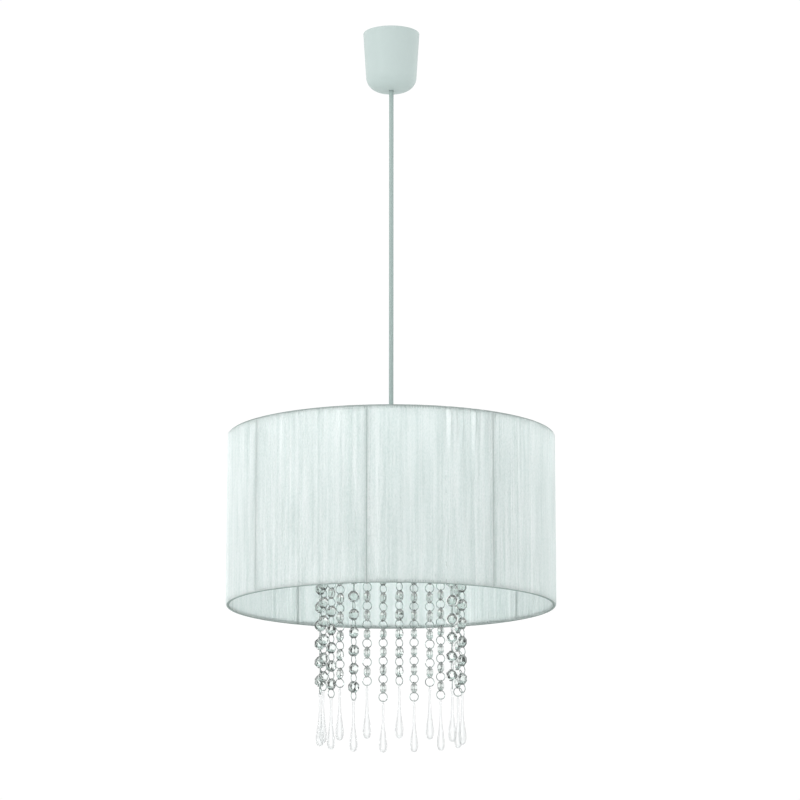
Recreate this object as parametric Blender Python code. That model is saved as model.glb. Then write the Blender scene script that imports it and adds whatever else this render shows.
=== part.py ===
"""A drum pendant light: a cup at the ceiling, a cord, and a drum shade wound with string.

Fourteen strands of chrome rings and octagon glass beads hang from a round plate inside the
drum, and each strand ends in a long glass drop.

The origin is on the ceiling, on the light's axis. +Z is up, and the viewer stands at -Y.
Every length is in metres.
"""
import math

import bmesh
import bpy
from mathutils import Matrix, Vector

# Clearances that many pieces share
touch_gap = 0.0003
cut_overrun = 0.004
merge_distance = 0.00001
smooth_angle = math.radians(35)

# Ceiling hook plate and suspension ring
hook_plate_width = 0.0170
hook_plate_thickness = 0.0024
hook_plate_screw_hole = 0.0045
hook_plate_screw_spacing = 0.032
hook_wire = 0.0036
hook_bowl_radius = 0.0066
hook_shank = 0.0030
hook_tip_angle = math.radians(118)
suspension_ring_radius = 0.0068
suspension_ring_wire = 0.0026

# How wide the flat top of a domed screw head is, as a share of the head
screw_dome_share = 0.7

# Cord grip
grip_tab_thickness = 0.0030
grip_tab_width = 0.0110
grip_tab_web = 0.0026
grip_tab_skirt = 0.0030
grip_eye_diameter = 0.0050
grip_width = 0.0180
grip_depth = 0.0070
grip_head_height = 0.0060
grip_head_reach = 0.0040
grip_wire_room = 0.0044
grip_clamp_height = 0.0160
grip_clamp_depth = 0.0060
grip_screw_spacing = 0.0120
grip_screw_head = 0.0044
grip_screw_head_height = 0.0018
grip_screw_shank = 0.0024

# Terminal block and its wires
terminal_width = 0.0166
terminal_depth = 0.0110
terminal_height = 0.0150
terminal_rise = 0.0060
terminal_pole_spacing = 0.0084
terminal_screw_head = 0.0036
terminal_screw_head_height = 0.0012
terminal_screw_shank = 0.0020
terminal_entry_depth = 0.0040
terminal_entry_diameter = 0.0032
terminal_front_space = 0.0030
wire_diameter = 0.0018
wire_spacing = 0.0026

# How deep a terminal's screw goes, as a share of the block's depth
terminal_screw_depth_share = 0.55

# Along each wire: how far across and forwards it is on its way to the pole, and how many of its
# own diameters above the middle of the room over the clamp
wire_bend_shares = (
    (0.0, 0.01, -0.62),
    (0.05, 0.10, -0.15),
    (0.13, 0.21, 0.0),
    (0.57, 0.41, 0.0),
    (0.90, 0.81, 0.2),
    (1.0, 0.96, 1.0),
    (1.0, 1.0, 2.0),
)

# Ceiling cup, with a collar inside it that grips the cord
cup_ceiling_gap = 0.0065
cup_top_diameter = 0.0700
cup_low_diameter = 0.0630
cup_height = 0.0740
cup_wall = 0.0020
cup_round_radius = 0.0180
cup_collar_diameter = 0.0150
cup_collar_height = 0.0030

# Cord
cord_diameter = 0.0056
cord_hole_diameter = 0.0062
cord_point_spacing = 0.0160

# Drum shade
shade_top_depth = 0.5195
shade_diameter = 0.4000
shade_height = 0.2100
string_layer = 0.0008
shade_ring_wire = 0.0030
rib_wire = 0.0022
rib_count = 8
rib_start_angle = math.radians(-8)
hem_turn_angle = math.radians(90)

# Spider: four arms from the top ring down to the flat fitter ring that the lampholder clamps
fitter_drop = 0.0568
fitter_width = 0.0072
fitter_thickness = 0.0016
arm_wire = 0.0026
arm_count = 4
arm_weld = 0.0008
arm_foot_rise = 0.0004
arm_foot_run = 0.0060

# Lampholder: its other diameters follow from its outer one and these walls and clearances
holder_outer_diameter = 0.0390
holder_wall = 0.0030
holder_length = 0.0500
holder_cap_overlap = 0.0100
cap_side_wall = 0.0017
cap_flange_reach = 0.0025
cap_flange_height = 0.0030
cap_wall = 0.0018
cap_shoulder_height = 0.0200
cap_height = 0.0290
cap_collar_diameter = 0.0130
cap_collar_height = 0.0070
insulator_height = 0.0090
insulator_skirt_height = 0.0060
insulator_skirt_wall = 0.0015
insulator_post_diameter = 0.0080
insulator_depth = 0.0060
shell_clearance = 0.0002
shell_wall = 0.0006
shell_height = 0.0250
contact_width = 0.0050
contact_length = 0.0140
contact_thickness = 0.0006
contact_drop = 0.0040
nut_wall = 0.0062
nut_height = 0.0090
nut_notch_count = 8
nut_notch_radius = 0.0018

# Crystal plate
strand_count = 14
strand_circle_diameter = 0.1720
strand_start_angle = math.radians(-70.5)
plate_thickness = 0.0012
plate_web = 0.0020
plate_hole_diameter = 0.0050
plate_hub_margin = 0.0050
plate_rim_margin = 0.0090
plate_spoke_width = 0.0140
plate_window_count = 4

# Crystal strands: rings of chromed wire through octagon glass beads
ring_count = 12
ring_radius = 0.00525
ring_wire = 0.0010
ring_pitch = 0.0224
bead_width = 0.0140
bead_thickness = 0.0076
bead_flat = 0.0058
twist_ring_count = 7

# Which way the lower rings of each strand face, as a share of a half turn from face-on
strand_facing_shares = (0.28, 0.14, 0.0, 0.2, 0.0, 0.47, 0.28, 0.08, 0.05, 0.0, 0.06, 0.33, 0.3, 0.44)

# Glass drops
drop_eye_radius = 0.0021
drop_eye_wire = 0.0012
drop_length = 0.0650
drop_bulb_diameter = 0.0105

# Along a drop: how far down it is, and how thick it is there, as shares of its length and bulb
drop_profile_shares = ((0.14, 0.36), (0.52, 0.42), (0.84, 1.0), (0.95, 0.70))

# How many flat facets stand in for each round
drum_steps = 40
cup_steps = 24
cup_round_steps = 4
plate_steps = 28
window_half_steps = 2
small_steps = 18
inner_steps = 14
hook_steps = 10
hook_end_steps = 8
wire_sides = 6
frame_wire_sides = 5
link_sides = 6
drop_sides = 8
hem_steps = 2
cord_round_steps = 2

# Levels that the sizes above fix, from the ceiling down
hook_centre_z = -hook_plate_thickness - hook_shank - hook_bowl_radius
hook_pivot_z = hook_centre_z - hook_bowl_radius
suspension_ring_z = (
    hook_pivot_z + hook_wire / 2 + touch_gap + suspension_ring_wire / 2 - suspension_ring_radius
)
grip_pivot_z = suspension_ring_z - suspension_ring_radius
ring_sag = suspension_ring_radius - math.sqrt(suspension_ring_radius ** 2 - (grip_tab_thickness / 2) ** 2)
grip_eye_z = grip_pivot_z + suspension_ring_wire / 2 + ring_sag + touch_gap - grip_eye_diameter / 2
grip_head_top_z = grip_eye_z - grip_eye_diameter / 2 - grip_tab_skirt
grip_clamp_top_z = grip_head_top_z - grip_head_height - grip_wire_room
grip_bottom_z = grip_clamp_top_z - grip_clamp_height
cup_top_z = -cup_ceiling_gap
cup_bottom_z = cup_top_z - cup_height
shade_top_z = -shade_top_depth
shade_bottom_z = shade_top_z - shade_height
flange_z = shade_top_z - fitter_drop
fitter_top_z = flange_z - touch_gap
plate_top_z = fitter_top_z - fitter_thickness - touch_gap
nut_top_z = plate_top_z - plate_thickness - touch_gap
cap_top_z = flange_z + cap_height
holder_top_z = flange_z + holder_cap_overlap
holder_bottom_z = holder_top_z - holder_length
cord_top_z = grip_clamp_top_z
cord_bottom_z = cap_top_z - cap_height + cap_shoulder_height - cap_wall
holder_hole_radius = holder_outer_diameter / 2 + touch_gap
fitter_outer_radius = holder_hole_radius + fitter_width
frame_ring_radius = shade_diameter / 2 - string_layer - touch_gap - shade_ring_wire / 2
frame_top_z = shade_top_z - string_layer - touch_gap - shade_ring_wire / 2
frame_bottom_z = shade_bottom_z + string_layer + touch_gap + shade_ring_wire / 2
plate_radius = strand_circle_diameter / 2 + plate_web / 2
plate_hole_circle_radius = plate_radius - plate_web - plate_hole_diameter / 2
window_near_radius = fitter_outer_radius + plate_hub_margin
window_far_radius = plate_hole_circle_radius - plate_hole_diameter / 2 - plate_rim_margin
strand_pivot_z = plate_top_z + touch_gap
terminal_centre_z = grip_clamp_top_z + terminal_rise + terminal_height / 2
terminal_y = grip_clamp_depth + terminal_front_space + terminal_depth / 2


def finish(name, colour, roughness, metallic=0.0):
    """Make a plain material in the piece's own colour."""
    material = bpy.data.materials.new(name)
    material.use_nodes = True
    shader = material.node_tree.nodes["Principled BSDF"]
    shader.inputs["Base Color"].default_value = (*colour, 1.0)
    shader.inputs["Roughness"].default_value = roughness
    shader.inputs["Metallic"].default_value = metallic
    material.diffuse_color = (*colour, 1.0)
    return material


def add_body(name, pivot, parent=None):
    """Add an empty on a joint's axis, for the pieces that move together."""
    body = bpy.data.objects.new(name, None)
    bpy.context.collection.objects.link(body)
    body["pivot"] = tuple(pivot)
    body.parent = parent
    body.location = Vector(pivot) - Vector(parent["pivot"] if parent else (0, 0, 0))
    body.empty_display_size = suspension_ring_radius
    return body


def add_piece(name, bm, material, body=None, at=(0, 0, 0), turn=0.0):
    """Turn a bmesh, drawn in the object's own frame, into a named piece of a body."""
    mesh = bpy.data.meshes.new(name)
    bm.to_mesh(mesh)
    bm.free()
    mesh.materials.append(material)
    mesh.shade_smooth()
    mesh.set_sharp_from_angle(angle=smooth_angle)
    piece = bpy.data.objects.new(name, mesh)
    bpy.context.collection.objects.link(piece)
    piece.parent = body
    piece.location = Vector(at) - Vector(body["pivot"] if body else (0, 0, 0))
    piece.rotation_euler.z = turn
    return piece


def add_cutter(name, bm, piece):
    """Keep a hidden tool shape beside the piece that it cuts or joins."""
    mesh = bpy.data.meshes.new(name)
    bm.to_mesh(mesh)
    bm.free()
    cutter = bpy.data.objects.new(name, mesh)
    bpy.context.collection.objects.link(cutter)
    cutter.parent = piece
    cutter.hide_render = True
    cutter.display_type = 'WIRE'
    return cutter


def combine(piece, tool, operation):
    """Cut a piece with a tool shape, or join the tool shape to it."""
    modifier = piece.modifiers.new(tool.name, 'BOOLEAN')
    modifier.object = tool
    modifier.operation = operation


def turned(profile, steps, touches_axis=False, start=0.0):
    """Turn a profile of (radius, height) points round the Z axis."""
    bm = bmesh.new()
    points = [bm.verts.new((radius, 0, height)) for radius, height in profile]
    ends = points[1:] if touches_axis else points[1:] + points[:1]
    edges = [bm.edges.new(pair) for pair in zip(points, ends)]
    bmesh.ops.spin(bm, geom=points + edges, axis=(0, 0, 1), angle=math.tau, steps=steps, use_merge=True)
    bmesh.ops.remove_doubles(bm, verts=bm.verts, dist=merge_distance)
    bmesh.ops.rotate(bm, verts=bm.verts, matrix=Matrix.Rotation(start, 3, 'Z'))
    bmesh.ops.recalc_face_normals(bm, faces=bm.faces)
    return bm


def circle_points(radius, sides, centre=(0.0, 0.0), start=0.0):
    """Points round a circle, with a flat side outwards when start is half a step."""
    return [
        (
            centre[0] + radius * math.cos(start + math.tau * i / sides),
            centre[1] + radius * math.sin(start + math.tau * i / sides),
        )
        for i in range(sides)
    ]


def arc_points(centre, radius, first, last, steps):
    """Points along an arc from one angle to another."""
    angles = [first + (last - first) * i / steps for i in range(steps + 1)]
    return [(centre[0] + radius * math.cos(a), centre[1] + radius * math.sin(a)) for a in angles]


def block(low, high):
    """A box between two corners."""
    bm = bmesh.new()
    size = Vector(high) - Vector(low)
    middle = (Vector(high) + Vector(low)) / 2
    bmesh.ops.create_cube(bm, size=1.0, matrix=Matrix.Translation(middle) @ Matrix.Diagonal((*size, 1.0)))
    return bm


def rod(bm, start, end, radius, sides):
    """Add a straight round rod between two points."""
    along = Vector(end) - Vector(start)
    facing = along.to_track_quat('Z', 'Y').to_matrix().to_4x4()
    place = Matrix.Translation((Vector(start) + Vector(end)) / 2) @ facing
    bmesh.ops.create_cone(
        bm, cap_ends=True, segments=sides, radius1=radius, radius2=radius, depth=along.length, matrix=place
    )
    return bm


def skin(bm, loops, closed=False):
    """Join each loop of points to the next one with four-sided faces."""
    following = loops[1:] + loops[:1] if closed else loops[1:]
    for here, there in zip(loops, following):
        for i, corner in enumerate(here):
            j = (i + 1) % len(here)
            bm.faces.new((corner, here[j], there[j], there[i]))


def swept(bm, path, radius, sides):
    """Sweep a round section along a path of points, with flat ends."""
    spots = [Vector(point) for point in path]
    loops = []
    across = None
    for i, spot in enumerate(spots):
        ahead = (spots[min(i + 1, len(spots) - 1)] - spots[max(i - 1, 0)]).normalized()
        if across is None:
            across = ahead.orthogonal().normalized()
        across = (across - ahead * across.dot(ahead)).normalized()
        beside = ahead.cross(across)
        section = circle_points(radius, sides)
        loops.append([bm.verts.new(spot + across * x + beside * y) for x, y in section])
    skin(bm, loops)
    bm.faces.new(loops[0])
    bm.faces.new(loops[-1])
    bmesh.ops.recalc_face_normals(bm, faces=bm.faces)
    return bm


def on_circle(radius, angle, height):
    """A point on a circle round the axis, its angle counted from the viewer towards +X."""
    return Vector((radius * math.sin(angle), -radius * math.cos(angle), height))


def add_hook_plate(material):
    """The long ceiling plate, rounded round its two screw holes, and its hook."""
    half = hook_plate_width / 2
    reach = hook_plate_screw_spacing / 2
    outline = arc_points((reach, 0), half, -math.pi / 2, math.pi / 2, hook_end_steps)
    outline += arc_points((-reach, 0), half, math.pi / 2, 3 * math.pi / 2, hook_end_steps)
    slab = bmesh.new()
    loops = [[slab.verts.new((x, y, z)) for x, y in outline] for z in (0, -hook_plate_thickness)]
    skin(slab, loops)
    slab.faces.new(loops[0])
    slab.faces.new(loops[1])
    bmesh.ops.recalc_face_normals(slab, faces=slab.faces)
    plate = add_piece("hook_plate", slab, material)
    holes = bmesh.new()
    for side in (-1, 1):
        spot = Vector((side * reach, 0, 0))
        deep = Vector((0, 0, hook_plate_thickness + cut_overrun))
        rod(holes, spot + deep, spot - deep, hook_plate_screw_hole / 2, wire_sides)
    combine(plate, add_cutter("hook_plate_holes", holes, plate), 'DIFFERENCE')
    last = -math.pi / 2 - hook_tip_angle
    bend = arc_points((0, hook_centre_z), hook_bowl_radius, math.pi / 2, last, hook_steps)
    path = [(0, 0, -hook_plate_thickness / 2)] + [(x, 0, z) for x, z in bend]
    hook = swept(bmesh.new(), path, hook_wire / 2, wire_sides)
    combine(plate, add_cutter("hook", hook, plate), 'UNION')


def add_suspension_ring(material, body):
    """The ring that swings on the hook and carries the cord grip."""
    section = circle_points(suspension_ring_wire / 2, wire_sides, (suspension_ring_radius, 0))
    ring = turned(section, small_steps)
    bmesh.ops.rotate(ring, verts=ring.verts, matrix=Matrix.Rotation(math.pi / 2, 3, 'Y'))
    bmesh.ops.translate(ring, verts=ring.verts, vec=(0, 0, suspension_ring_z - hook_pivot_z))
    add_piece("suspension_ring", ring, material, body, (0, 0, hook_pivot_z))


def add_cord_grip(plastic, steel, body):
    """The grip: a body with an eye for the ring, a clamp across the cord, and two screws."""
    half = grip_width / 2
    head_bottom = grip_head_top_z - grip_head_height
    back = block((-half, -grip_depth, grip_bottom_z), (half, -touch_gap / 2, head_bottom + touch_gap))
    grip = add_piece("cord_grip_body", back, plastic, body)
    head = block((-half, -grip_depth, head_bottom), (half, grip_head_reach, grip_head_top_z))
    combine(grip, add_cutter("grip_head", head, grip), 'UNION')
    tab_half = grip_tab_width / 2
    tab_thick = grip_tab_thickness / 2
    tab_top = grip_eye_z + grip_eye_diameter / 2 + grip_tab_web
    tab = block((-tab_half, -tab_thick, grip_head_top_z - grip_tab_skirt), (tab_half, tab_thick, tab_top))
    combine(grip, add_cutter("grip_tab", tab, grip), 'UNION')
    eye = bmesh.new()
    eye_back = (0, -grip_depth, grip_eye_z)
    eye_front = (0, grip_depth, grip_eye_z)
    rod(eye, eye_back, eye_front, grip_eye_diameter / 2, 2 * wire_sides)
    combine(grip, add_cutter("grip_eye", eye, grip), 'DIFFERENCE')

    front = block((-half, touch_gap / 2, grip_bottom_z), (half, grip_clamp_depth, grip_clamp_top_z))
    clamp = add_piece("cord_grip_clamp", front, plastic, body)
    for piece, name in ((grip, "grip_cord_groove"), (clamp, "clamp_cord_groove")):
        groove = bmesh.new()
        low = (0, 0, grip_bottom_z - cut_overrun)
        rod(groove, low, (0, 0, grip_clamp_top_z + cut_overrun / 2), cord_hole_diameter / 2, 2 * wire_sides)
        combine(piece, add_cutter(name, groove, piece), 'DIFFERENCE')

    screw_z = (grip_clamp_top_z + grip_bottom_z) / 2
    screw_reach = grip_depth - grip_screw_head_height
    for number, side in ((1, -1), (2, 1)):
        spot = Vector((side * grip_screw_spacing / 2, 0, screw_z))
        for piece in (grip, clamp):
            drill = bmesh.new()
            out = Vector((0, grip_clamp_depth + cut_overrun, 0))
            deep = Vector((0, -screw_reach - touch_gap, 0))
            rod(drill, spot + out, spot + deep, grip_screw_shank / 2 + touch_gap, wire_sides)
            combine(piece, add_cutter(f"{piece.name}_drill_{number}", drill, piece), 'DIFFERENCE')
        under_head = spot + Vector((0, grip_clamp_depth + touch_gap, 0))
        tip = spot + Vector((0, -screw_reach, 0))
        sizes = (grip_screw_head, grip_screw_head_height, grip_screw_shank)
        add_screw(f"cord_grip_screw_{number}", under_head, tip, sizes, steel, body)


def add_screw(name, under_head, tip, sizes, material, body):
    """A round-headed screw from its seat to its tip; its thread is left to the finish."""
    head, head_height, shank = sizes
    length = (under_head - tip).length
    dome = head / 2 * screw_dome_share
    profile = [(0, head_height), (dome, head_height), (head / 2, head_height / 2), (head / 2, 0)]
    profile += [(shank / 2, 0), (shank / 2, -length), (0, -length)]
    screw = turned(profile, wire_sides, True)
    facing = (under_head - tip).to_track_quat('Z', 'Y').to_matrix()
    bmesh.ops.rotate(screw, verts=screw.verts, matrix=facing)
    add_piece(name, screw, material, body, under_head)


def add_terminals(plastic, brass, live, neutral, body):
    """The two-pole block, one clamp screw on each pole, and the wires from the cord's end."""
    half = Vector((terminal_width / 2, terminal_depth / 2, terminal_height / 2))
    centre = Vector((0, terminal_y, terminal_centre_z))
    block_piece = add_piece("terminal_block", block(centre - half, centre + half), plastic, body)
    front_y = terminal_y + terminal_depth / 2
    entry_top = centre.z - half.z + terminal_entry_depth
    screw_depth = terminal_depth * terminal_screw_depth_share
    room_z = cord_top_z + grip_wire_room / 2
    for number, side, wire_material in ((1, -1, live), (2, 1, neutral)):
        x = side * terminal_pole_spacing / 2
        entry = bmesh.new()
        below = (x, terminal_y, centre.z - half.z - cut_overrun)
        rod(entry, below, (x, terminal_y, entry_top), terminal_entry_diameter / 2, wire_sides)
        combine(block_piece, add_cutter(f"terminal_entry_{number}", entry, block_piece), 'DIFFERENCE')
        drill = bmesh.new()
        seat = Vector((x, front_y + touch_gap, centre.z + terminal_entry_depth / 2))
        tip = seat - Vector((0, screw_depth, 0))
        out = seat + Vector((0, cut_overrun, 0))
        rod(drill, out, tip - Vector((0, touch_gap, 0)), terminal_screw_shank / 2 + touch_gap, wire_sides)
        combine(block_piece, add_cutter(f"terminal_drill_{number}", drill, block_piece), 'DIFFERENCE')
        sizes = (terminal_screw_head, terminal_screw_head_height, terminal_screw_shank)
        add_screw(f"terminal_screw_{number}", seat, tip, sizes, brass, body)

        start_x = side * wire_spacing / 2
        path = [(start_x, 0, cord_top_z + touch_gap)]
        for across_share, forward_share, rise_share in wire_bend_shares:
            across = start_x + (x - start_x) * across_share
            path.append((across, terminal_y * forward_share, room_z + wire_diameter * rise_share))
        path.append((x, terminal_y, entry_top - touch_gap))
        wire = swept(bmesh.new(), path, wire_diameter / 2, wire_sides)
        add_piece("wire_live" if side < 0 else "wire_neutral", wire, wire_material, body)


def add_cup(plastic, body):
    """The ceiling cup, its collar close round the cord so that it stays where it is slid to."""
    top = cup_top_diameter / 2
    low = cup_low_diameter / 2
    hole = cord_hole_diameter / 2
    collar = cup_collar_diameter / 2
    floor_z = cup_bottom_z + cup_wall
    collar_z = floor_z + cup_collar_height
    round_centre = (low - cup_round_radius, cup_bottom_z + cup_round_radius)
    profile = [(top, cup_top_z)]
    profile += arc_points(round_centre, cup_round_radius, 0, -math.pi / 2, cup_round_steps)
    profile += [(hole, cup_bottom_z), (hole, collar_z), (collar, collar_z), (collar, floor_z)]
    profile += arc_points(round_centre, cup_round_radius - cup_wall, -math.pi / 2, 0, cup_round_steps - 1)
    profile += [(top - cup_wall, cup_top_z)]
    profile = [(radius, z - cup_top_z) for radius, z in profile]
    add_piece("ceiling_cup", turned(profile, cup_steps), plastic, body, (0, 0, cup_top_z))


def add_cord(material, body):
    """The cord, from the grip in the cup down into the lampholder's cap."""
    curve = bpy.data.curves.new("pendant_cord", 'CURVE')
    curve.dimensions = '3D'
    curve.bevel_depth = cord_diameter / 2
    curve.bevel_resolution = cord_round_steps
    curve.use_fill_caps = True
    length = cord_top_z - cord_bottom_z
    count = max(2, round(length / cord_point_spacing) + 1)
    spline = curve.splines.new('POLY')
    spline.points.add(count - 1)
    for i, point in enumerate(spline.points):
        point.co = (0, 0, cord_top_z - length * i / (count - 1), 1)
    curve.materials.append(material)
    cord = bpy.data.objects.new("pendant_cord", curve)
    bpy.context.collection.objects.link(cord)
    cord.parent = body
    cord.location = -Vector(body["pivot"])


def add_lampholder(plastic, ceramic, brass, body):
    """The lampholder: cap, threaded body, insulator, screw shell, centre contact and nut."""
    collar = cap_collar_diameter / 2
    cord = cord_hole_diameter / 2
    bore = holder_hole_radius
    cap = bore + cap_side_wall
    flange = cap + cap_flange_reach
    shoulder_z = flange_z + cap_shoulder_height
    collar_z = cap_top_z - cap_collar_height
    profile = [(cord, cap_top_z), (collar, cap_top_z), (collar, collar_z), (cap - cap_wall, shoulder_z)]
    profile += [(cap, shoulder_z - cap_wall), (cap, flange_z + cap_flange_height)]
    profile += [(flange, flange_z + cap_flange_height), (flange, flange_z), (bore, flange_z)]
    profile += [(bore, shoulder_z - 2 * cap_wall), (cord, shoulder_z - cap_wall)]
    add_piece("lampholder_cap", turned(profile, small_steps), plastic, body)

    outer = holder_outer_diameter / 2
    inner = outer - holder_wall
    profile = [(outer, holder_top_z), (outer, holder_bottom_z)]
    profile += [(inner, holder_bottom_z), (inner, holder_top_z)]
    add_piece("lampholder_body", turned(profile, small_steps), plastic, body)

    insulator = inner - touch_gap
    skirt = insulator - insulator_skirt_wall
    post = insulator_post_diameter / 2
    top_z = holder_top_z - insulator_depth
    base_z = top_z - insulator_height
    skirt_z = base_z - insulator_skirt_height
    profile = [(0, top_z), (insulator, top_z), (insulator, skirt_z), (skirt, skirt_z), (skirt, base_z)]
    profile += [(post, base_z), (post, base_z - contact_drop), (0, base_z - contact_drop)]
    add_piece("lampholder_insulator", turned(profile, inner_steps, True), ceramic, body)

    outer = skirt - shell_clearance
    inner = outer - shell_wall
    shell_z = base_z - touch_gap
    lip_z = shell_z - shell_height
    profile = [(outer, shell_z), (outer, lip_z), (inner, lip_z), (inner, shell_z)]
    add_piece("screw_shell", turned(profile, inner_steps), brass, body)

    contact_z = base_z - contact_drop - touch_gap
    contact = block(
        (-contact_length / 2, -contact_width / 2, contact_z - contact_thickness),
        (contact_length / 2, contact_width / 2, contact_z),
    )
    add_piece("centre_contact", contact, brass, body)

    outer = bore + nut_wall
    nut_bottom = nut_top_z - nut_height
    profile = [(bore, nut_top_z), (outer, nut_top_z), (outer, nut_bottom), (bore, nut_bottom)]
    nut = add_piece("shade_ring", turned(profile, small_steps), plastic, body)
    notches = bmesh.new()
    for i in range(nut_notch_count):
        spot = on_circle(outer + nut_notch_radius / 2, math.tau * i / nut_notch_count, 0)
        high = spot + Vector((0, 0, nut_top_z - nut_height / 3))
        low = spot + Vector((0, 0, nut_bottom - cut_overrun))
        rod(notches, low, high, nut_notch_radius, wire_sides)
    combine(nut, add_cutter("shade_ring_notches", notches, nut), 'DIFFERENCE')


def add_shade_frame(material, body):
    """The frame: two rings, eight upright ribs, and the spider with its fitter ring."""
    section = circle_points(shade_ring_wire / 2, frame_wire_sides, (frame_ring_radius, 0))
    for name, height in (("shade_top_ring", frame_top_z), ("shade_bottom_ring", frame_bottom_z)):
        ring = turned(section, drum_steps, start=rib_start_angle - math.pi / 2)
        bmesh.ops.translate(ring, verts=ring.verts, vec=(0, 0, height))
        add_piece(name, ring, material, body)

    inner = holder_hole_radius
    outer = fitter_outer_radius
    low = fitter_top_z - fitter_thickness
    fitter = turned([(inner, fitter_top_z), (outer, fitter_top_z), (outer, low), (inner, low)], small_steps)
    spider = add_piece("shade_spider", fitter, material, body)
    arms = bmesh.new()
    foot_z = fitter_top_z - fitter_thickness / 2 + arm_foot_rise
    for i in range(arm_count):
        angle = rib_start_angle + math.tau / rib_count + math.tau * i / arm_count
        ring_middle = on_circle(frame_ring_radius, angle, frame_top_z)
        bend = on_circle(outer + arm_foot_run, angle, foot_z)
        inside = on_circle(outer - arm_weld, angle, foot_z)
        slope = (bend - ring_middle).normalized()
        outside = ring_middle + slope * (shade_ring_wire / 2 + touch_gap)
        swept(arms, [outside, bend, inside], arm_wire / 2, wire_sides)
    combine(spider, add_cutter("spider_arms", arms, spider), 'UNION')

    rib_radius = shade_diameter / 2 - string_layer - touch_gap - rib_wire / 2
    rib_clear = shade_ring_wire / 2 + touch_gap
    for i in range(rib_count):
        angle = rib_start_angle + math.tau * i / rib_count
        low = on_circle(rib_radius, angle, frame_bottom_z + rib_clear)
        high = on_circle(rib_radius, angle, frame_top_z - rib_clear)
        rib = rod(bmesh.new(), low - low, high - low, rib_wire / 2, frame_wire_sides)
        add_piece(f"shade_rib_{i + 1}", rib, material, body, low)


def add_string_cover(material, body):
    """The wound string as one thin drum wall, its hems turned over the two rings."""
    inner = shade_ring_wire / 2 + touch_gap
    outer = inner + string_layer
    top = (frame_ring_radius, frame_top_z)
    bottom = (frame_ring_radius, frame_bottom_z)
    profile = arc_points(top, outer, hem_turn_angle, 0, hem_steps)
    profile += arc_points(bottom, outer, 0, -hem_turn_angle, hem_steps)
    profile += arc_points(bottom, inner, -hem_turn_angle, 0, hem_steps)
    profile += arc_points(top, inner, 0, hem_turn_angle, hem_steps)
    cover = turned(profile, drum_steps, start=rib_start_angle - math.pi / 2)
    add_piece("string_cover", cover, material, body)


def add_crystal_plate(material, body):
    """The punched plate: four windows, a hole for each strand and the lampholder's hole."""
    low = plate_top_z - plate_thickness
    inner = holder_hole_radius
    profile = [(inner, plate_top_z), (plate_radius, plate_top_z), (plate_radius, low), (inner, low)]
    disc = turned(profile, plate_steps, start=strand_start_angle - math.pi / 2)
    plate = add_piece("crystal_plate", disc, material, body)
    above = plate_top_z + cut_overrun
    below = low - cut_overrun
    holes = bmesh.new()
    for i in range(strand_count):
        angle = strand_start_angle + math.tau * i / strand_count
        low_end = on_circle(plate_hole_circle_radius, angle, below)
        high_end = on_circle(plate_hole_circle_radius, angle, above)
        rod(holes, low_end, high_end, plate_hole_diameter / 2, wire_sides)
    combine(plate, add_cutter("strand_holes", holes, plate), 'DIFFERENCE')
    windows = bmesh.new()
    near = window_near_radius
    far = window_far_radius
    near_half = math.pi / plate_window_count - math.asin(plate_spoke_width / 2 / near)
    far_half = math.pi / plate_window_count - math.asin(plate_spoke_width / 2 / far)
    for i in range(plate_window_count):
        middle = rib_start_angle + math.tau * i / plate_window_count
        far_step = far_half / window_half_steps
        outline = [(far, middle - far_half + far_step * k) for k in range(2 * window_half_steps + 1)]
        outline += [(near, middle + near_half * side) for side in (1, 0, -1)]
        loops = [[windows.verts.new(on_circle(r, a, z)) for r, a in outline] for z in (below, above)]
        skin(windows, loops)
        windows.faces.new(loops[0])
        windows.faces.new(loops[1])
    bmesh.ops.recalc_face_normals(windows, faces=windows.faces)
    combine(plate, add_cutter("plate_windows", windows, plate), 'DIFFERENCE')


def add_link(bm, centre_z, facing, radius, wire, open_top, open_bottom):
    """Add a six-sided ring of three-sided wire, and give back its open top and bottom faces.

    The ring stands upright with its plane along the direction facing. Where it is open, the
    bead or drop that it passes through is joined on.
    """
    along = Vector((math.cos(facing), math.sin(facing), 0))
    across = Vector((-math.sin(facing), math.cos(facing), 0))
    corner_share = 1 / math.cos(math.pi / link_sides)
    sections = []
    for i in range(link_sides):
        angle = math.pi / link_sides + math.tau * i / link_sides
        outward = along * math.sin(angle) - Vector((0, 0, math.cos(angle)))
        middle = Vector((0, 0, centre_z))
        outer = middle + outward * (radius + wire / 2) * corner_share
        inner = middle + outward * (radius - wire / 2) * corner_share
        section = [outer + across * wire / 2, outer - across * wire / 2, inner]
        sections.append([bm.verts.new(point) for point in section])
    top_start = link_sides // 2 - 1
    open_starts = ([link_sides - 1] if open_bottom else []) + ([top_start] if open_top else [])
    for i, here in enumerate(sections):
        there = sections[(i + 1) % link_sides]
        for k in range(3):
            if k == 0 and i in open_starts:
                continue
            j = (k + 1) % 3
            bm.faces.new((here[k], here[j], there[j], there[k]))
    low = (sections[0], sections[-1])
    below = (low[0][0], low[0][1], low[1][1], low[1][0])
    high = (sections[top_start], sections[top_start + 1])
    above = (high[0][0], high[0][1], high[1][1], high[1][0])
    return above, below


def join_facets(bm, ring_face, loop):
    """Join the four corners of a ring's open face to a loop round a bead with flat facets."""
    count = len(loop) // len(ring_face)
    for i, corner in enumerate(ring_face):
        following = ring_face[(i + 1) % len(ring_face)]
        fan = [loop[(i * count + k) % len(loop)] for k in range(count + 1)]
        for a, b in zip(fan, fan[1:]):
            bm.faces.new((corner, a, b))
        bm.faces.new((corner, fan[-1], following))


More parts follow.
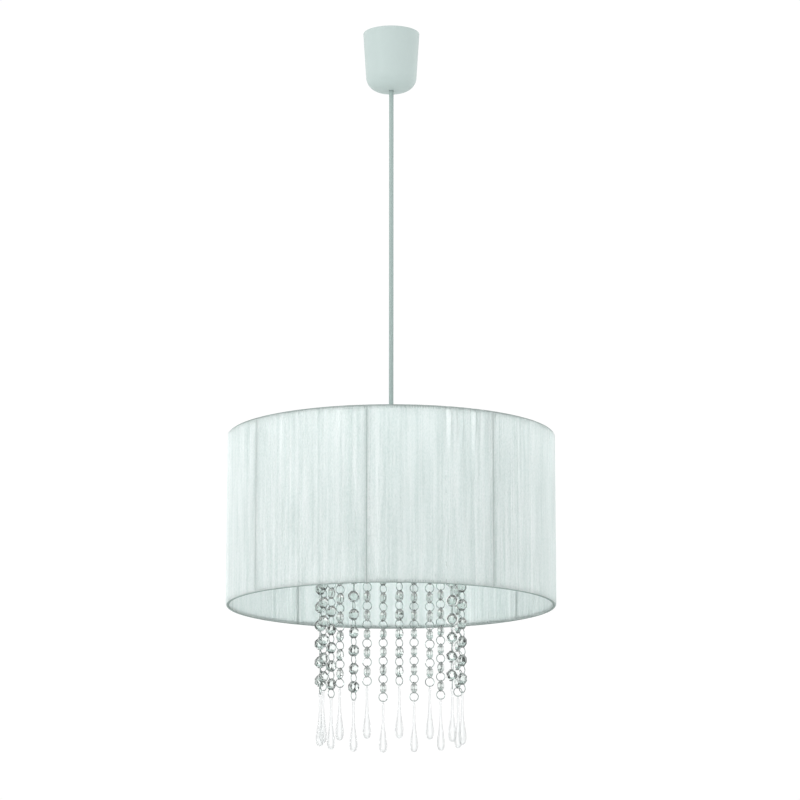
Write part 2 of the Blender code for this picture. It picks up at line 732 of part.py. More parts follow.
def add_bead(bm, height, facing, ring_face_above, ring_face_below):
    """Add an octagon bead between the open faces of the rings that pass through its ends.

    Seen from the front it is an octagon, and from the side it thins from its middle to its ends.
    """
    along = Vector((math.cos(facing), math.sin(facing), 0))
    across = Vector((-math.sin(facing), math.cos(facing), 0))
    half_flat = Vector((0, 0, bead_flat / 2))
    middle = Vector((0, 0, height))
    front, back = (bm.verts.new(middle + along * side * bead_thickness / 2) for side in (1, -1))
    upper, lower = (
        [bm.verts.new(middle + across * side * bead_width / 2 + rise) for side in (1, -1)]
        for rise in (half_flat, -half_flat)
    )
    join_facets(bm, ring_face_above, [upper[0], front, upper[1], back])
    join_facets(bm, ring_face_below, [lower[0], front, lower[1], back])
    for face in (front, back):
        for high, low in zip(upper, lower):
            bm.faces.new((face, high, low))


def build_strand(twist):
    """One strand in its own frame: rings and beads, turned by the twist over the first links."""
    bm = bmesh.new()
    first_z = -(ring_radius - ring_wire / 2)
    open_face = None
    for i in range(ring_count):
        facing = twist * min(1.0, i / twist_ring_count)
        above, below = add_link(
            bm, first_z - ring_pitch * i, facing, ring_radius, ring_wire, i > 0, i < ring_count - 1
        )
        if open_face:
            bead_facing = twist * min(1.0, (i - 0.5) / twist_ring_count)
            add_bead(bm, first_z - ring_pitch * (i - 0.5), bead_facing, open_face, above)
        open_face = below
    bmesh.ops.recalc_face_normals(bm, faces=bm.faces)
    return bm


def build_drop():
    """One glass drop in its own frame: an eye round the last ring, a thin neck and a bulb."""
    bm = bmesh.new()
    eye_z = -(drop_eye_radius - drop_eye_wire / 2)
    below = add_link(bm, eye_z, math.pi / 2, drop_eye_radius, drop_eye_wire, False, True)[1]
    top_z = drop_eye_wire
    loops = []
    for down_share, thick_share in drop_profile_shares:
        height = top_z - drop_length * down_share
        radius = drop_bulb_diameter / 2 * thick_share
        points = circle_points(radius, drop_sides)
        loops.append([bm.verts.new((-x, y, height)) for x, y in points])
    join_facets(bm, below, loops[0])
    skin(bm, loops)
    tip = bm.verts.new((0, 0, top_z - drop_length))
    for i, corner in enumerate(loops[-1]):
        bm.faces.new((corner, loops[-1][(i + 1) % drop_sides], tip))
    bmesh.ops.recalc_face_normals(bm, faces=bm.faces)
    return bm


def add_strands(crystal, glass, pendant):
    """Hang the strands round the plate, and a drop on the last ring of each."""
    last_ring_z = -(ring_radius - ring_wire / 2) - ring_pitch * (ring_count - 1)
    drop_pivot = last_ring_z - ring_radius + ring_wire / 2 + touch_gap
    for i in range(strand_count):
        angle = strand_start_angle + math.tau * i / strand_count
        spot = on_circle(strand_circle_diameter / 2, angle, strand_pivot_z)
        turn = angle - math.pi / 2
        facing = math.pi * strand_facing_shares[i % len(strand_facing_shares)]
        twist = (facing - turn + math.pi / 2) % math.pi - math.pi / 2
        strand_body = add_body(f"strand_body_{i + 1:02d}", spot, pendant)
        add_piece(f"crystal_strand_{i + 1:02d}", build_strand(twist), crystal, strand_body, spot, turn)
        low = spot + Vector((0, 0, drop_pivot))
        drop_body = add_body(f"drop_body_{i + 1:02d}", low, strand_body)
        add_piece(f"glass_drop_{i + 1:02d}", build_drop(), glass, drop_body, low, turn + twist)


def build():
    """Clear the scene and build every piece."""
    for old in list(bpy.data.objects):
        bpy.data.objects.remove(old, do_unlink=True)

    cup_plastic = finish("cup_plastic", (0.72, 0.80, 0.78), 0.55)
    cord_plastic = finish("cord_plastic", (0.55, 0.63, 0.60), 0.5)
    grip_plastic = finish("grip_plastic", (0.80, 0.82, 0.80), 0.5)
    zinc_steel = finish("zinc_steel", (0.62, 0.64, 0.65), 0.4, 1.0)
    frame_enamel = finish("frame_enamel", (0.70, 0.76, 0.74), 0.45)
    string = finish("string", (0.74, 0.81, 0.79), 0.7)
    chrome_plate = finish("chrome_plate", (0.75, 0.76, 0.77), 0.15, 1.0)
    ceramic = finish("ceramic", (0.82, 0.80, 0.75), 0.35)
    brass = finish("brass", (0.72, 0.55, 0.28), 0.35, 1.0)
    live_plastic = finish("live_plastic", (0.20, 0.09, 0.04), 0.5)
    neutral_plastic = finish("neutral_plastic", (0.05, 0.15, 0.50), 0.5)
    crystal = finish("crystal", (0.80, 0.86, 0.85), 0.05)
    clear_glass = finish("clear_glass", (0.85, 0.90, 0.89), 0.03)

    hanger = add_body("hanger_body", (0, 0, hook_pivot_z))
    pendant = add_body("pendant_body", (0, 0, grip_pivot_z), hanger)
    cup = add_body("cup_body", (0, 0, cup_top_z), pendant)

    add_hook_plate(zinc_steel)
    add_suspension_ring(zinc_steel, hanger)
    add_cord_grip(grip_plastic, zinc_steel, pendant)
    add_terminals(grip_plastic, brass, live_plastic, neutral_plastic, pendant)
    add_cup(cup_plastic, cup)
    add_cord(cord_plastic, pendant)
    add_lampholder(grip_plastic, ceramic, brass, pendant)
    add_shade_frame(frame_enamel, pendant)
    add_string_cover(string, pendant)
    add_crystal_plate(chrome_plate, pendant)
    add_strands(crystal, clear_glass, pendant)


build()
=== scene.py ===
"""Dresses a drum pendant light: a string-wound shade with crystal strands, its cord and its fittings.

Lengths are in metres, +Z is up, the origin is on the ceiling, and the viewer stands at -Y.
"""
from functools import partial
from math import asin, cos, pi, radians, sin, tau

import bmesh
import bpy
from mathutils import Matrix, Vector


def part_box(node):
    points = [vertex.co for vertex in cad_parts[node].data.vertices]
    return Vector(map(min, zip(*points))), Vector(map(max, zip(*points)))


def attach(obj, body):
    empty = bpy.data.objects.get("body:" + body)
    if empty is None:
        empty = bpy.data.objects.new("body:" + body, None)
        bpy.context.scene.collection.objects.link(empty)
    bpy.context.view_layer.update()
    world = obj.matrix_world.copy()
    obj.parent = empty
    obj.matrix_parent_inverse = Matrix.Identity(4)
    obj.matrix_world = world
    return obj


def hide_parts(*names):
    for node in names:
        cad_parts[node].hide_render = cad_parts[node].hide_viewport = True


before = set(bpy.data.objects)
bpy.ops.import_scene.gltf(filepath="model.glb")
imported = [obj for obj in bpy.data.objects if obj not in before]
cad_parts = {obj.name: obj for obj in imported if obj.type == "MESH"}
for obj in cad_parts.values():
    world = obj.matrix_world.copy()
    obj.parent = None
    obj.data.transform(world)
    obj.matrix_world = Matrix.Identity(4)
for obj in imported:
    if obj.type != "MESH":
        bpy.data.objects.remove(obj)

bl_info = {
    "name": "Drum Pendant Light",
    "version": (1, 0, 0),
    "blender": (4, 5, 0),
    "location": "3D View > Sidebar > Pendant",
    "description": "Builds a string drum shade with crystal strands on its cord and ceiling cup",
    "category": "Add Mesh",
}

touch_gap = 0.0003
holder_bore = 0.0198
strand_count = 14
rib_count = 8
arm_count = 4
rib_start_angle = radians(-8)
strand_start_angle = radians(-70.5)
strand_twist_rings = 7

# Which way the lower rings of each strand face, as a share of a half turn from face-on
strand_facing_shares = (0.28, 0.14, 0.0, 0.2, 0.0, 0.47, 0.28, 0.08, 0.05, 0.0, 0.06, 0.33, 0.3, 0.44)

# Where the winding has opened up near the top ring, in degrees from the front towards +X
loose_places = (19.8, 24.1, 29.0, 32.8, 148.0, 205.0)
loose_reach = radians(1.6)

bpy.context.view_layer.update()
cup_low, cup_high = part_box("ceiling_cup")
cord_low, cord_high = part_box("pendant_cord")
cover_low, cover_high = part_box("string_cover")
plate_low, plate_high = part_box("crystal_plate")


def linear(code):
    """Turn an sRGB hex colour into linear red, green and blue."""
    parts = [int(code[i:i + 2], 16) / 255 for i in (1, 3, 5)]
    return tuple(c / 12.92 if c <= 0.04045 else ((c + 0.055) / 1.055) ** 2.4 for c in parts)


# Sizes and colours that a user would change


def length_property(name, description, default):
    """A length that the sidebar shows in the scene's own unit."""
    return bpy.props.FloatProperty(name=name, description=description, default=default, unit='LENGTH')


def colour_property(name, description, code):
    """A colour for the sidebar, from its sRGB hex code."""
    return bpy.props.FloatVectorProperty(
        name=name, description=description, subtype='COLOR', default=linear(code))


class ShadeSizes(bpy.types.PropertyGroup):
    diameter: length_property(
        "Drum diameter", "Across the outside of the winding", cover_high.x - cover_low.x)
    ring_wire: length_property("Ring wire", "Diameter of the top and bottom rings' wire", 0.003)
    rib_wire: length_property("Rib wire", "Diameter of the upright ribs", 0.0022)
    arm_wire: length_property("Arm wire", "Diameter of the spider's arms", 0.0026)
    thread: length_property("Thread", "Diameter of the wound thread", 0.00094)
    flattening: bpy.props.FloatProperty(
        name="Flattening", description="How many times wider than thick a wound thread lies",
        default=1.34, min=1.0)
    thread_count: bpy.props.IntProperty(
        name="Threads", description="Turns of thread round the drum", default=1250, min=12)
    bunching: length_property("Bunching", "How far a thread strays from its even place", 0.0006)


class StrandSizes(bpy.types.PropertyGroup):
    bead_width: length_property("Bead width", "Across the flats of an octagon bead", 0.014)
    bead_thickness: length_property("Bead thickness", "From table to table", 0.0076)
    ring_radius: length_property("Ring radius", "To the middle of the ring's wire", 0.00525)
    ring_wire: length_property("Ring wire", "Diameter of the ring's wire", 0.001)
    pitch: length_property("Pitch", "From one ring to the next", 0.0224)
    ring_count: bpy.props.IntProperty(name="Rings", description="Rings in a strand", default=12, min=2)
    circle_diameter: length_property("Strand circle", "Circle on which the strands hang", 0.172)
    drop_length: length_property("Drop length", "From its eye to its tip", 0.065)
    drop_width: length_property("Drop width", "Across the drop's bulb", 0.0105)


class FittingSizes(bpy.types.PropertyGroup):
    cord: length_property("Cord", "Diameter of the round cord", 0.0056)
    cup_wall: length_property("Cup wall", "Thickness of the ceiling cup", 0.002)
    thread_pitch: length_property("Holder thread", "Pitch of the thread outside the lampholder", 0.003)
    lamp_pitch: length_property("Lamp thread", "Pitch of the thread in the screw shell", 0.00363)


class FinishColours(bpy.types.PropertyGroup):
    thread_light: colour_property("Light thread", "The brightest threads", "#FDFEFE")
    thread_dark: colour_property("Dark thread", "The dullest threads", "#ECF1F0")
    cup: colour_property("Cup", "Plastic of the ceiling cup", "#AFBCBA")
    cord: colour_property("Cord", "Sheath of the cord", "#96A6A3")
    # Darker than the frame's real white enamel: painted shade for the wire lying in shadow under the thread
    enamel_in_shade: colour_property("Frame enamel", "Enamel on the wire frame", "#93A5A0")
    crystal: colour_property("Crystal", "Tint of the octagon beads", "#F3FAF7")
    glass: colour_property("Glass", "Tint of the long drops", "#FCFDFD")


class StageSettings(bpy.types.PropertyGroup):
    sky: bpy.props.FloatProperty(
        name="Surroundings", description="Brightness of the white surroundings", default=1.52, min=0.0)
    key: bpy.props.FloatProperty(
        name="Key light", description="Power of the soft light from the left, in watts",
        default=22.0, min=0.0)
    floor_depth: length_property("Floor", "How far the floor is below the ceiling", 2.5)


# Meshes


def on_circle(radius, angle, height):
    """A point on a circle round the axis, its angle counted from the viewer towards +X."""
    return Vector((radius * sin(angle), -radius * cos(angle), height))


def bridge(bm, loops, closed=True, capped=False):
    """Fill the faces between each loop of vertices and the next, and turn them outwards."""
    for here, there in zip(loops, loops[1:] + loops[:1] if closed else loops[1:]):
        for i in range(len(here)):
            j = (i + 1) % len(here)
            bm.faces.new((here[i], here[j], there[j], there[i]))
    if capped:
        bm.faces.new(loops[0])
        bm.faces.new(loops[-1])
    bmesh.ops.recalc_face_normals(bm, faces=bm.faces)


def upright_circle(radius, count, height=0.0):
    """Points on a circle in the XZ plane."""
    turns = [tau * k / count for k in range(count)]
    return [(radius * cos(a), 0, height + radius * sin(a)) for a in turns]


def strand_places():
    """The number of each strand, its angle on the circle and the way its lower rings face."""
    for i, share in enumerate(strand_facing_shares):
        yield i + 1, strand_start_angle + tau * i / strand_count, pi * share


def lathe(profile, steps, closed=True):
    """Turn a profile of (radius, height) points round the Z axis into a mesh."""
    bm = bmesh.new()
    rings = []
    for radius, height in profile:
        count = steps if radius > 0 else 1
        spots = [Matrix.Rotation(tau * i / steps, 3, 'Z') @ Vector((radius, 0, height)) for i in range(count)]
        rings.append([bm.verts.new(spot) for spot in spots])
    following = rings[1:] + rings[:1] if closed else rings[1:]
    for here, there in zip(rings, following):
        for i in range(steps):
            j = (i + 1) % steps
            corners = [here[i % len(here)], here[j % len(here)], there[j % len(there)], there[i % len(there)]]
            corners = list(dict.fromkeys(corners))
            if len(corners) > 2:
                bm.faces.new(corners)
    bmesh.ops.recalc_face_normals(bm, faces=bm.faces)
    return bm


def softened(points, radius, steps=3, closed=True):
    """Round each corner of an outline of (x, z) points."""
    soft = []
    count = len(points)
    for i, here in enumerate(points):
        if not closed and i in (0, count - 1):
            soft.append(tuple(here))
            continue
        corner = Vector(here)
        before = Vector(points[i - 1]) - corner
        after = Vector(points[(i + 1) % count]) - corner
        reach = min(radius, before.length / 2.05, after.length / 2.05)
        start = corner + before.normalized() * reach
        end = corner + after.normalized() * reach
        for k in range(steps + 1):
            t = k / steps
            soft.append(tuple(start * (1 - t) ** 2 + corner * 2 * t * (1 - t) + end * t ** 2))
    return soft


def smooth_path(points, per_span):
    """Points on a smooth curve through the given ones."""
    spots = [Vector(p) for p in points]
    padded = [spots[0] * 2 - spots[1]] + spots + [spots[-1] * 2 - spots[-2]]
    path = []
    for i in range(len(spots) - 1):
        a, b, c, d = padded[i:i + 4]
        for k in range(per_span):
            t = k / per_span
            path.append((b * 2 + (c - a) * t + (a * 2 - b * 5 + c * 4 - d) * t ** 2
                         + (b * 3 - a - c * 3 + d) * t ** 3) / 2)
    return path + [spots[-1]]


def swept(bm, path, radius, sides, closed=False):
    """Sweep a round section along a path, with flat ends unless the path is closed."""
    spots = [Vector(point) for point in path]
    count = len(spots)
    loops = []
    across = None
    for i, spot in enumerate(spots):
        ahead = spots[(i + 1) % count if closed else min(i + 1, count - 1)]
        behind = spots[i - 1 if closed else max(i - 1, 0)]
        along = (ahead - behind).normalized()
        across = across or along.orthogonal().normalized()
        across = (across - along * across.dot(along)).normalized()
        beside = along.cross(across)
        turns = [tau * k / sides for k in range(sides)]
        loops.append([bm.verts.new(spot + (across * cos(a) + beside * sin(a)) * radius) for a in turns])
    bridge(bm, loops, closed, capped=not closed)
    return bm


def ball(bm, centre, radius, stretch=(1, 1, 1)):
    """Add a small rounded lump, such as a spot of weld."""
    place = Matrix.Translation(centre) @ Matrix.Diagonal((*stretch, 1))
    bmesh.ops.create_uvsphere(bm, u_segments=12, v_segments=8, radius=radius, matrix=place)


def threaded(wall, pitch, depth, heights, steps, rounded):
    """A tube with a screw thread turned on its outside, and on its inside too where rounded.

    wall is its outer and inner radius, and heights are its top and bottom.
    """
    bm = bmesh.new()
    outer, inner = wall
    top, bottom = heights
    rows_per_turn = 6
    rows = max(2, round((top - bottom) / pitch * rows_per_turn))
    lead = pitch * 0.8
    grid = []
    for row in range(rows + 1):
        z = top + (bottom - top) * row / rows
        # The thread runs out towards both ends
        full = max(0.0, min(1.0, (top - z) / lead, (z - bottom) / lead))
        ring = []
        for i in range(steps):
            turn = (z / pitch + i / steps) % 1.0
            wave = 0.5 + 0.5 * cos(tau * turn)
            if not rounded:
                wave = min(1.0, max(0.0, 1.5 * wave - 0.1))
            ring.append((tau * i / steps, depth * (wave - 1.0) * full, z))
        grid.append(ring)
    outside = [[bm.verts.new(((outer + d) * cos(a), (outer + d) * sin(a), z)) for a, d, z in ring]
               for ring in grid]
    if rounded:
        inside = [[bm.verts.new(((inner + d) * cos(a), (inner + d) * sin(a), z)) for a, d, z in ring]
                  for ring in grid]
    else:
        inside = [[bm.verts.new((inner * cos(a), inner * sin(a), z)) for a, _, z in ring]
                  for ring in (grid[0], grid[-1])]
    bridge(bm, outside + inside[::-1])
    return bm


def add_object(name, bm, materials, sharp=35):
    """Link a bmesh as an object at the origin, shaded smooth up to an angle in degrees."""
    mesh = bpy.data.meshes.new(name)
    bm.to_mesh(mesh)
    bm.free()
    for material in materials:
        mesh.materials.append(material)
    mesh.shade_smooth()
    mesh.set_sharp_from_angle(angle=radians(sharp))
    piece = bpy.data.objects.new(name, mesh)
    bpy.context.scene.collection.objects.link(piece)
    return piece


def settle(piece, sharp=35):
    """Put what an object's modifiers give into its mesh, and take the modifiers away."""
    depsgraph = bpy.context.evaluated_depsgraph_get()
    solid = bpy.data.meshes.new_from_object(
        piece.evaluated_get(depsgraph), preserve_all_data_layers=True, depsgraph=depsgraph)
    piece.modifiers.clear()
    piece.data = solid
    solid.shade_smooth()
    solid.set_sharp_from_angle(angle=radians(sharp))
    return piece


def cut(piece, tools, operation='DIFFERENCE'):
    """Cut a piece with tool shapes, or join them to it, and throw the tools away."""
    for tool in tools:
        modifier = piece.modifiers.new(tool.name, 'BOOLEAN')
        modifier.object = tool
        modifier.operation = operation
    settle(piece)
    for tool in tools:
        bpy.data.objects.remove(tool)
    return piece


def eased(node, name, radius, materials):
    """A copy of a solid from the frame with its flats made whole and its edges eased."""
    bm = bmesh.new()
    bm.from_mesh(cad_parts[node].data)
    bmesh.ops.remove_doubles(bm, verts=bm.verts, dist=0.000005)
    bmesh.ops.dissolve_limit(bm, angle_limit=radians(2), verts=bm.verts, edges=bm.edges)
    edges = [e for e in bm.edges if e.is_manifold and e.calc_face_angle() > radians(32)]
    bmesh.ops.bevel(bm, geom=edges, offset=radius, segments=2, profile=0.5, affect='EDGES',
                    clamp_overlap=True)
    for face in bm.faces:
        face.material_index = 0
    return add_object(name, bm, materials, 30)


def placed(piece, body, nodes):
    """Make a piece ride on its body and stand for its solids, which it hides."""
    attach(piece, body)
    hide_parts(*nodes)
    return piece


# Node trees


def add_node(tree, kind, values=None):
    """Add a node, set its inputs or its own settings, and link its inputs.

    A kind without a prefix is a shader node. A value that is a socket is linked, and so is a node,
    which stands for its first output.
    """
    node = tree.nodes.new(kind if 'Node' in kind else 'ShaderNode' + kind)
    for key, value in (values or {}).items():
        if isinstance(value, (bpy.types.Node, bpy.types.NodeSocket)):
            tree.links.new(getattr(value, "outputs", (value,))[0], node.inputs[key])
        elif isinstance(key, str) and hasattr(node, key) and key not in node.inputs:
            setattr(node, key, value)
        else:
            node.inputs[key].default_value = value
    return node


def angle_from_front(tree, parts):
    """The angle round the Z axis of a separated position, from the viewer towards +X."""
    back = add_node(tree, 'Math', {'operation': 'MULTIPLY', 0: parts.outputs[1], 1: -1.0})
    return add_node(tree, 'Math', {'operation': 'ARCTAN2', 0: parts.outputs[0], 1: back})


def start_tree(name, **inputs):
    """Start a geometry tree with inputs named by kind, and give back it, their sockets and their keys."""
    tree = bpy.data.node_groups.new(name, 'GeometryNodeTree')
    for side in ('INPUT', 'OUTPUT'):
        tree.interface.new_socket("Geometry", in_out=side, socket_type='NodeSocketGeometry')
    keys = {}
    for kind, labels in inputs.items():
        for label in labels:
            socket = tree.interface.new_socket(label, in_out='INPUT', socket_type='NodeSocket' + kind)
            keys[label] = socket.identifier
    return tree, tree.nodes.new('NodeGroupInput').outputs, keys


def grow(piece, tree, keys, values, sharp=35):
    """Run a geometry tree on an object with these input values, and keep the plain mesh it makes."""
    modifier = piece.modifiers.new(tree.name, 'NODES')
    modifier.node_group = tree
    for label, value in values.items():
        modifier[keys[label]] = value
    return settle(piece, sharp)


def round_the_axis_tree():
    """Repeats a piece round the Z axis, with its place, height and path strayed a little at random."""
    tree, given, keys = start_tree(
        "Round the axis", Int=("Count", "Seed"), Material=("Material",),
        Float=("Start Angle", "Jitter", "Stray", "Bunching", "Grain", "Top", "Loose Depth", "Loose Width"))
    add = partial(add_node, tree)
    index = add('GeometryNodeInputIndex').outputs[0]
    points = add('GeometryNodePoints', {"Count": given["Count"]})
    step = add('Math', {'operation': 'DIVIDE', 0: tau, 1: given["Count"]})
    least = add('Math', {'operation': 'MULTIPLY', 0: given["Jitter"], 1: -1.0})
    jitter = add('FunctionNodeRandomValue',
                 {2: least, 3: given["Jitter"], "ID": index, "Seed": given["Seed"]})
    steps = add('Math', {'operation': 'ADD', 0: index, 1: jitter.outputs[1]})
    turned = add('Math', {'operation': 'MULTIPLY_ADD', 0: steps, 1: step, 2: given["Start Angle"]})
    turn = add('CombineXYZ', {"Z": turned})
    copies = add('GeometryNodeInstanceOnPoints',
                 {"Points": points, "Instance": given["Geometry"], "Rotation": turn})
    inward = add('Math', {'operation': 'MULTIPLY', 0: given["Stray"], 1: -1.0})
    other_seed = add('Math', {'operation': 'ADD', 0: given["Seed"], 1: 7.0})
    stray = add('FunctionNodeRandomValue', {2: inward, 3: 0.0, "ID": index, "Seed": other_seed})
    out = add('CombineXYZ', {"X": stray.outputs[1]})
    moved = add('GeometryNodeTranslateInstances', {"Instances": copies, "Translation": out})
    third_seed = add('Math', {'operation': 'ADD', 0: given["Seed"], 1: 19.0})
    shade = add('FunctionNodeRandomValue', {"ID": index, "Seed": third_seed})
    marked = add('GeometryNodeStoreNamedAttribute',
                 {'domain': 'INSTANCE', "Name": "piece_shade", "Geometry": moved, "Value": shade.outputs[1]})
    real = add('GeometryNodeRealizeInstances', {"Geometry": marked})

    # Neighbours stray together along the drum, and each place drifts slowly with its height
    spot = add('GeometryNodeInputPosition').outputs[0]
    drawn_out = add('VectorMath', {'operation': 'MULTIPLY', 0: spot, 1: (1.0, 1.0, 0.055)})
    noise = add('TexNoise', {"Detail": 2.0, "Roughness": 0.6, "Vector": drawn_out, "Scale": given["Grain"]})
    even = add('Math', {'operation': 'SUBTRACT', 0: noise, 1: 0.5})
    drift = add('Math', {'operation': 'MULTIPLY', 0: even, 1: given["Bunching"]})

    # Where the winding has opened, the threads on both sides lean away from the place near the top
    parts = add('SeparateXYZ', {0: spot})
    angle = angle_from_front(tree, parts)
    low = add('Math', {'operation': 'SUBTRACT', 0: given["Top"], 1: given["Loose Depth"]})
    rise = add('MapRange',
               {'interpolation_type': 'SMOOTHSTEP', "Value": parts.outputs[2], "From Min": low,
                "From Max": given["Top"]})
    total = drift.outputs[0]
    for place in loose_places:
        apart = add('Math', {'operation': 'SUBTRACT', 0: angle, 1: radians(place)})
        wrapped = add('Math', {'operation': 'WRAP', 0: apart, 1: -pi, 2: pi})
        away = add('Math', {'operation': 'SIGN', 0: wrapped})
        far = add('Math', {'operation': 'ABSOLUTE', 0: wrapped})
        fade = add('MapRange',
                   {'interpolation_type': 'SMOOTHSTEP', "From Min": 0.0, "From Max": loose_reach,
                    "To Min": 1.0, "To Max": 0.0, "Value": far})
        lean = add('Math', {'operation': 'MULTIPLY', 0: away, 1: fade})
        high = add('Math', {'operation': 'MULTIPLY', 0: lean, 1: rise})
        total = add('Math',
                    {'operation': 'MULTIPLY_ADD', 0: high, 1: given["Loose Width"], 2: total}).outputs[0]
    aside = add('VectorMath', {'operation': 'CROSS_PRODUCT', 0: (0.0, 0.0, 1.0), 1: spot})
    sideways = add('VectorMath', {'operation': 'NORMALIZE', 0: aside})
    offset = add('VectorMath', {'operation': 'SCALE', 0: sideways, "Scale": total})
    shifted = add('GeometryNodeSetPosition', {"Geometry": real, "Offset": offset})
    coated = add('GeometryNodeSetMaterial', {"Geometry": shifted, "Material": given["Material"]})
    add('NodeGroupOutput', {0: coated})
    return tree, keys


def strand_tree():
    """Rings at an even pitch with a bead between each two, turned step by step and placed on the drum."""
    tree, given, keys = start_tree("Crystal strand", Int=("Ring Count", "Seed"), Vector=("Place",),
                                   Object=("Ring", "Bead"), Material=("Metal", "Glass"),
                                   Float=("Pitch", "First Height", "Twist", "Twist Rings", "Wobble", "Turn"))
    add = partial(add_node, tree)
    down = add('Math', {'operation': 'MULTIPLY', 0: given["Pitch"], 1: -1.0})
    offset = add('CombineXYZ', {"Z": down})
    index = add('GeometryNodeInputIndex').outputs[0]
    least = add('Math', {'operation': 'MULTIPLY', 0: given["Wobble"], 1: -1.0})
    fewer = add('Math', {'operation': 'SUBTRACT', 0: given["Ring Count"], 1: 1.0})
    kinds = []
    for number, (count, source, finish, lower_share) in enumerate((
            (given["Ring Count"], given["Ring"], given["Metal"], 0.0),
            (fewer.outputs[0], given["Bead"], given["Glass"], 0.5))):
        lower = add('Math', {'operation': 'MULTIPLY_ADD', 0: down, 1: lower_share, 2: given["First Height"]})
        start = add('CombineXYZ', {"Z": lower})
        line = add('GeometryNodeMeshLine', {"Count": count, "Start Location": start, "Offset": offset})
        along = add('Math', {'operation': 'ADD', 0: index, 1: lower_share})
        share = add('Math', {'operation': 'DIVIDE', 'use_clamp': True, 0: along, 1: given["Twist Rings"]})
        seed = add('Math', {'operation': 'ADD', 0: given["Seed"], 1: 31.0 * number})
        wobble = add('FunctionNodeRandomValue', {2: least, 3: given["Wobble"], "ID": index, "Seed": seed})
        facing = add('Math', {'operation': 'MULTIPLY_ADD', 0: share, 1: given["Twist"], 2: wobble.outputs[1]})
        turn = add('CombineXYZ', {"Z": facing})
        shape = add('GeometryNodeObjectInfo', {"Object": source})
        copies = add('GeometryNodeInstanceOnPoints',
                     {"Points": line, "Instance": shape.outputs["Geometry"], "Rotation": turn})
        real = add('GeometryNodeRealizeInstances', {"Geometry": copies})
        kinds.append(add('GeometryNodeSetMaterial', {"Geometry": real, "Material": finish}).outputs[0])
    both = add('GeometryNodeJoinGeometry')
    for kind in kinds:
        tree.links.new(kind, both.inputs[0])
    turn = add('CombineXYZ', {"Z": given["Turn"]})
    hung = add('GeometryNodeTransform', {"Geometry": both, "Translation": given["Place"], "Rotation": turn})
    add('NodeGroupOutput', {0: hung})
    return tree, keys


# Materials


def start_material(name, colour, roughness, **sockets):
    """A Principled material, with its tree, its shader and its pattern coordinates."""
    material = bpy.data.materials.new(name)
    material.use_nodes = True
    tree = material.node_tree
    shader = tree.nodes["Principled BSDF"]
    shader.inputs["Base Color"].default_value = (*colour, 1.0)
    shader.inputs["Roughness"].default_value = roughness
    for key, value in sockets.items():
        shader.inputs[key.replace("_", " ")].default_value = value
    coordinates = add_node(tree, 'TexCoord').outputs["Object"]
    return material, tree, shader, coordinates


def per_metre(millimetres):
    """A texture's scale, from the real size of its pattern."""
    return 1000.0 / millimetres


def grained(tree, shader, coordinates, grain, height, stretch=(1.0, 1.0, 1.0), rough=None, tones=None):
    """Give a surface a fine grain, its size in millimetres, with its ranges of roughness and colour."""
    scale = per_metre(grain)
    add = partial(add_node, tree)
    mapping = add('Mapping', {"Scale": stretch, "Vector": coordinates})
    noise = add('TexNoise', {"Scale": scale, "Detail": 3.0, "Vector": mapping})
    bump = add('Bump', {"Distance": height, "Height": noise})
    tree.links.new(bump.outputs[0], shader.inputs["Normal"])
    if rough:
        spread = add('MapRange',
                     {"From Min": 0.3, "From Max": 0.7, "To Min": rough[0], "To Max": rough[1],
                      "Value": noise})
        tree.links.new(spread.outputs[0], shader.inputs["Roughness"])
    if tones:
        patch = add('TexNoise', {"Scale": scale / 12, "Detail": 2.0, "Vector": mapping})
        mixed = add('Mix', {'data_type': 'RGBA', 0: patch, 6: (*tones[0], 1.0), 7: (*tones[1], 1.0)})
        tree.links.new(mixed.outputs[2], shader.inputs["Base Color"])


def grained_material(name, colour, roughness, grain, height, rough, darkest, stretch=(1, 1, 1), **sockets):
    """A material of one colour with a fine grain, its dullest patches a share of the colour."""
    material, tree, shader, coordinates = start_material(name, colour, roughness, **sockets)
    grained(tree, shader, coordinates, grain, height, stretch, rough, (shaded(colour, darkest), colour))
    return material


def shaded(colour, share):
    """A colour made darker or lighter by a share."""
    return tuple(min(1.0, c * share) for c in colour)


def painted_wire_shadow(tree, coordinates, reach):
    """Painted wire shadow: how far a thread lies on a ring or a rib, from 0 to 1, from its height and its
    angle.
    """
    add = partial(add_node, tree)
    parts = add('SeparateXYZ', {0: coordinates})
    shares = []
    # For each rim's painted shadow its height, how near counts in full, how far it still counts, and how much
    rims = ((cover_high.z, 0.001, 0.003, 0.6), (cover_low.z, 0.0004, 0.0014, 0.78))
    for height, near, far_off, most in rims:
        apart = add('Math', {'operation': 'SUBTRACT', 0: parts.outputs[2], 1: height})
        far = add('Math', {'operation': 'ABSOLUTE', 0: apart})
        shares.append(add('MapRange',
                          {'interpolation_type': 'SMOOTHSTEP', "From Min": near, "From Max": far_off,
                           "To Min": most, "To Max": 0.0, "Value": far}))
    angle = angle_from_front(tree, parts)
    step = tau / rib_count
    start = (rib_start_angle + step / 2) % step
    apart = add('Math', {'operation': 'SUBTRACT', 0: angle, 1: start})
    wrapped = add('Math', {'operation': 'WRAP', 0: apart, 1: -step / 2, 2: step / 2})
    rest = add('Math', {'operation': 'ABSOLUTE', 0: wrapped})
    from_rib = add('Math', {'operation': 'SUBTRACT', 0: step / 2, 1: rest})
    shares.append(add('MapRange',
                      {'interpolation_type': 'SMOOTHSTEP', "From Min": reach * 0.2, "From Max": reach * 0.55,
                       "To Min": 0.42, "To Max": 0.0, "Value": from_rib}))
    total = shares[0].outputs[0]
    for share in shares[1:]:
        total = add('Math', {'operation': 'MAXIMUM', 0: total, 1: share}).outputs[0]
    return total


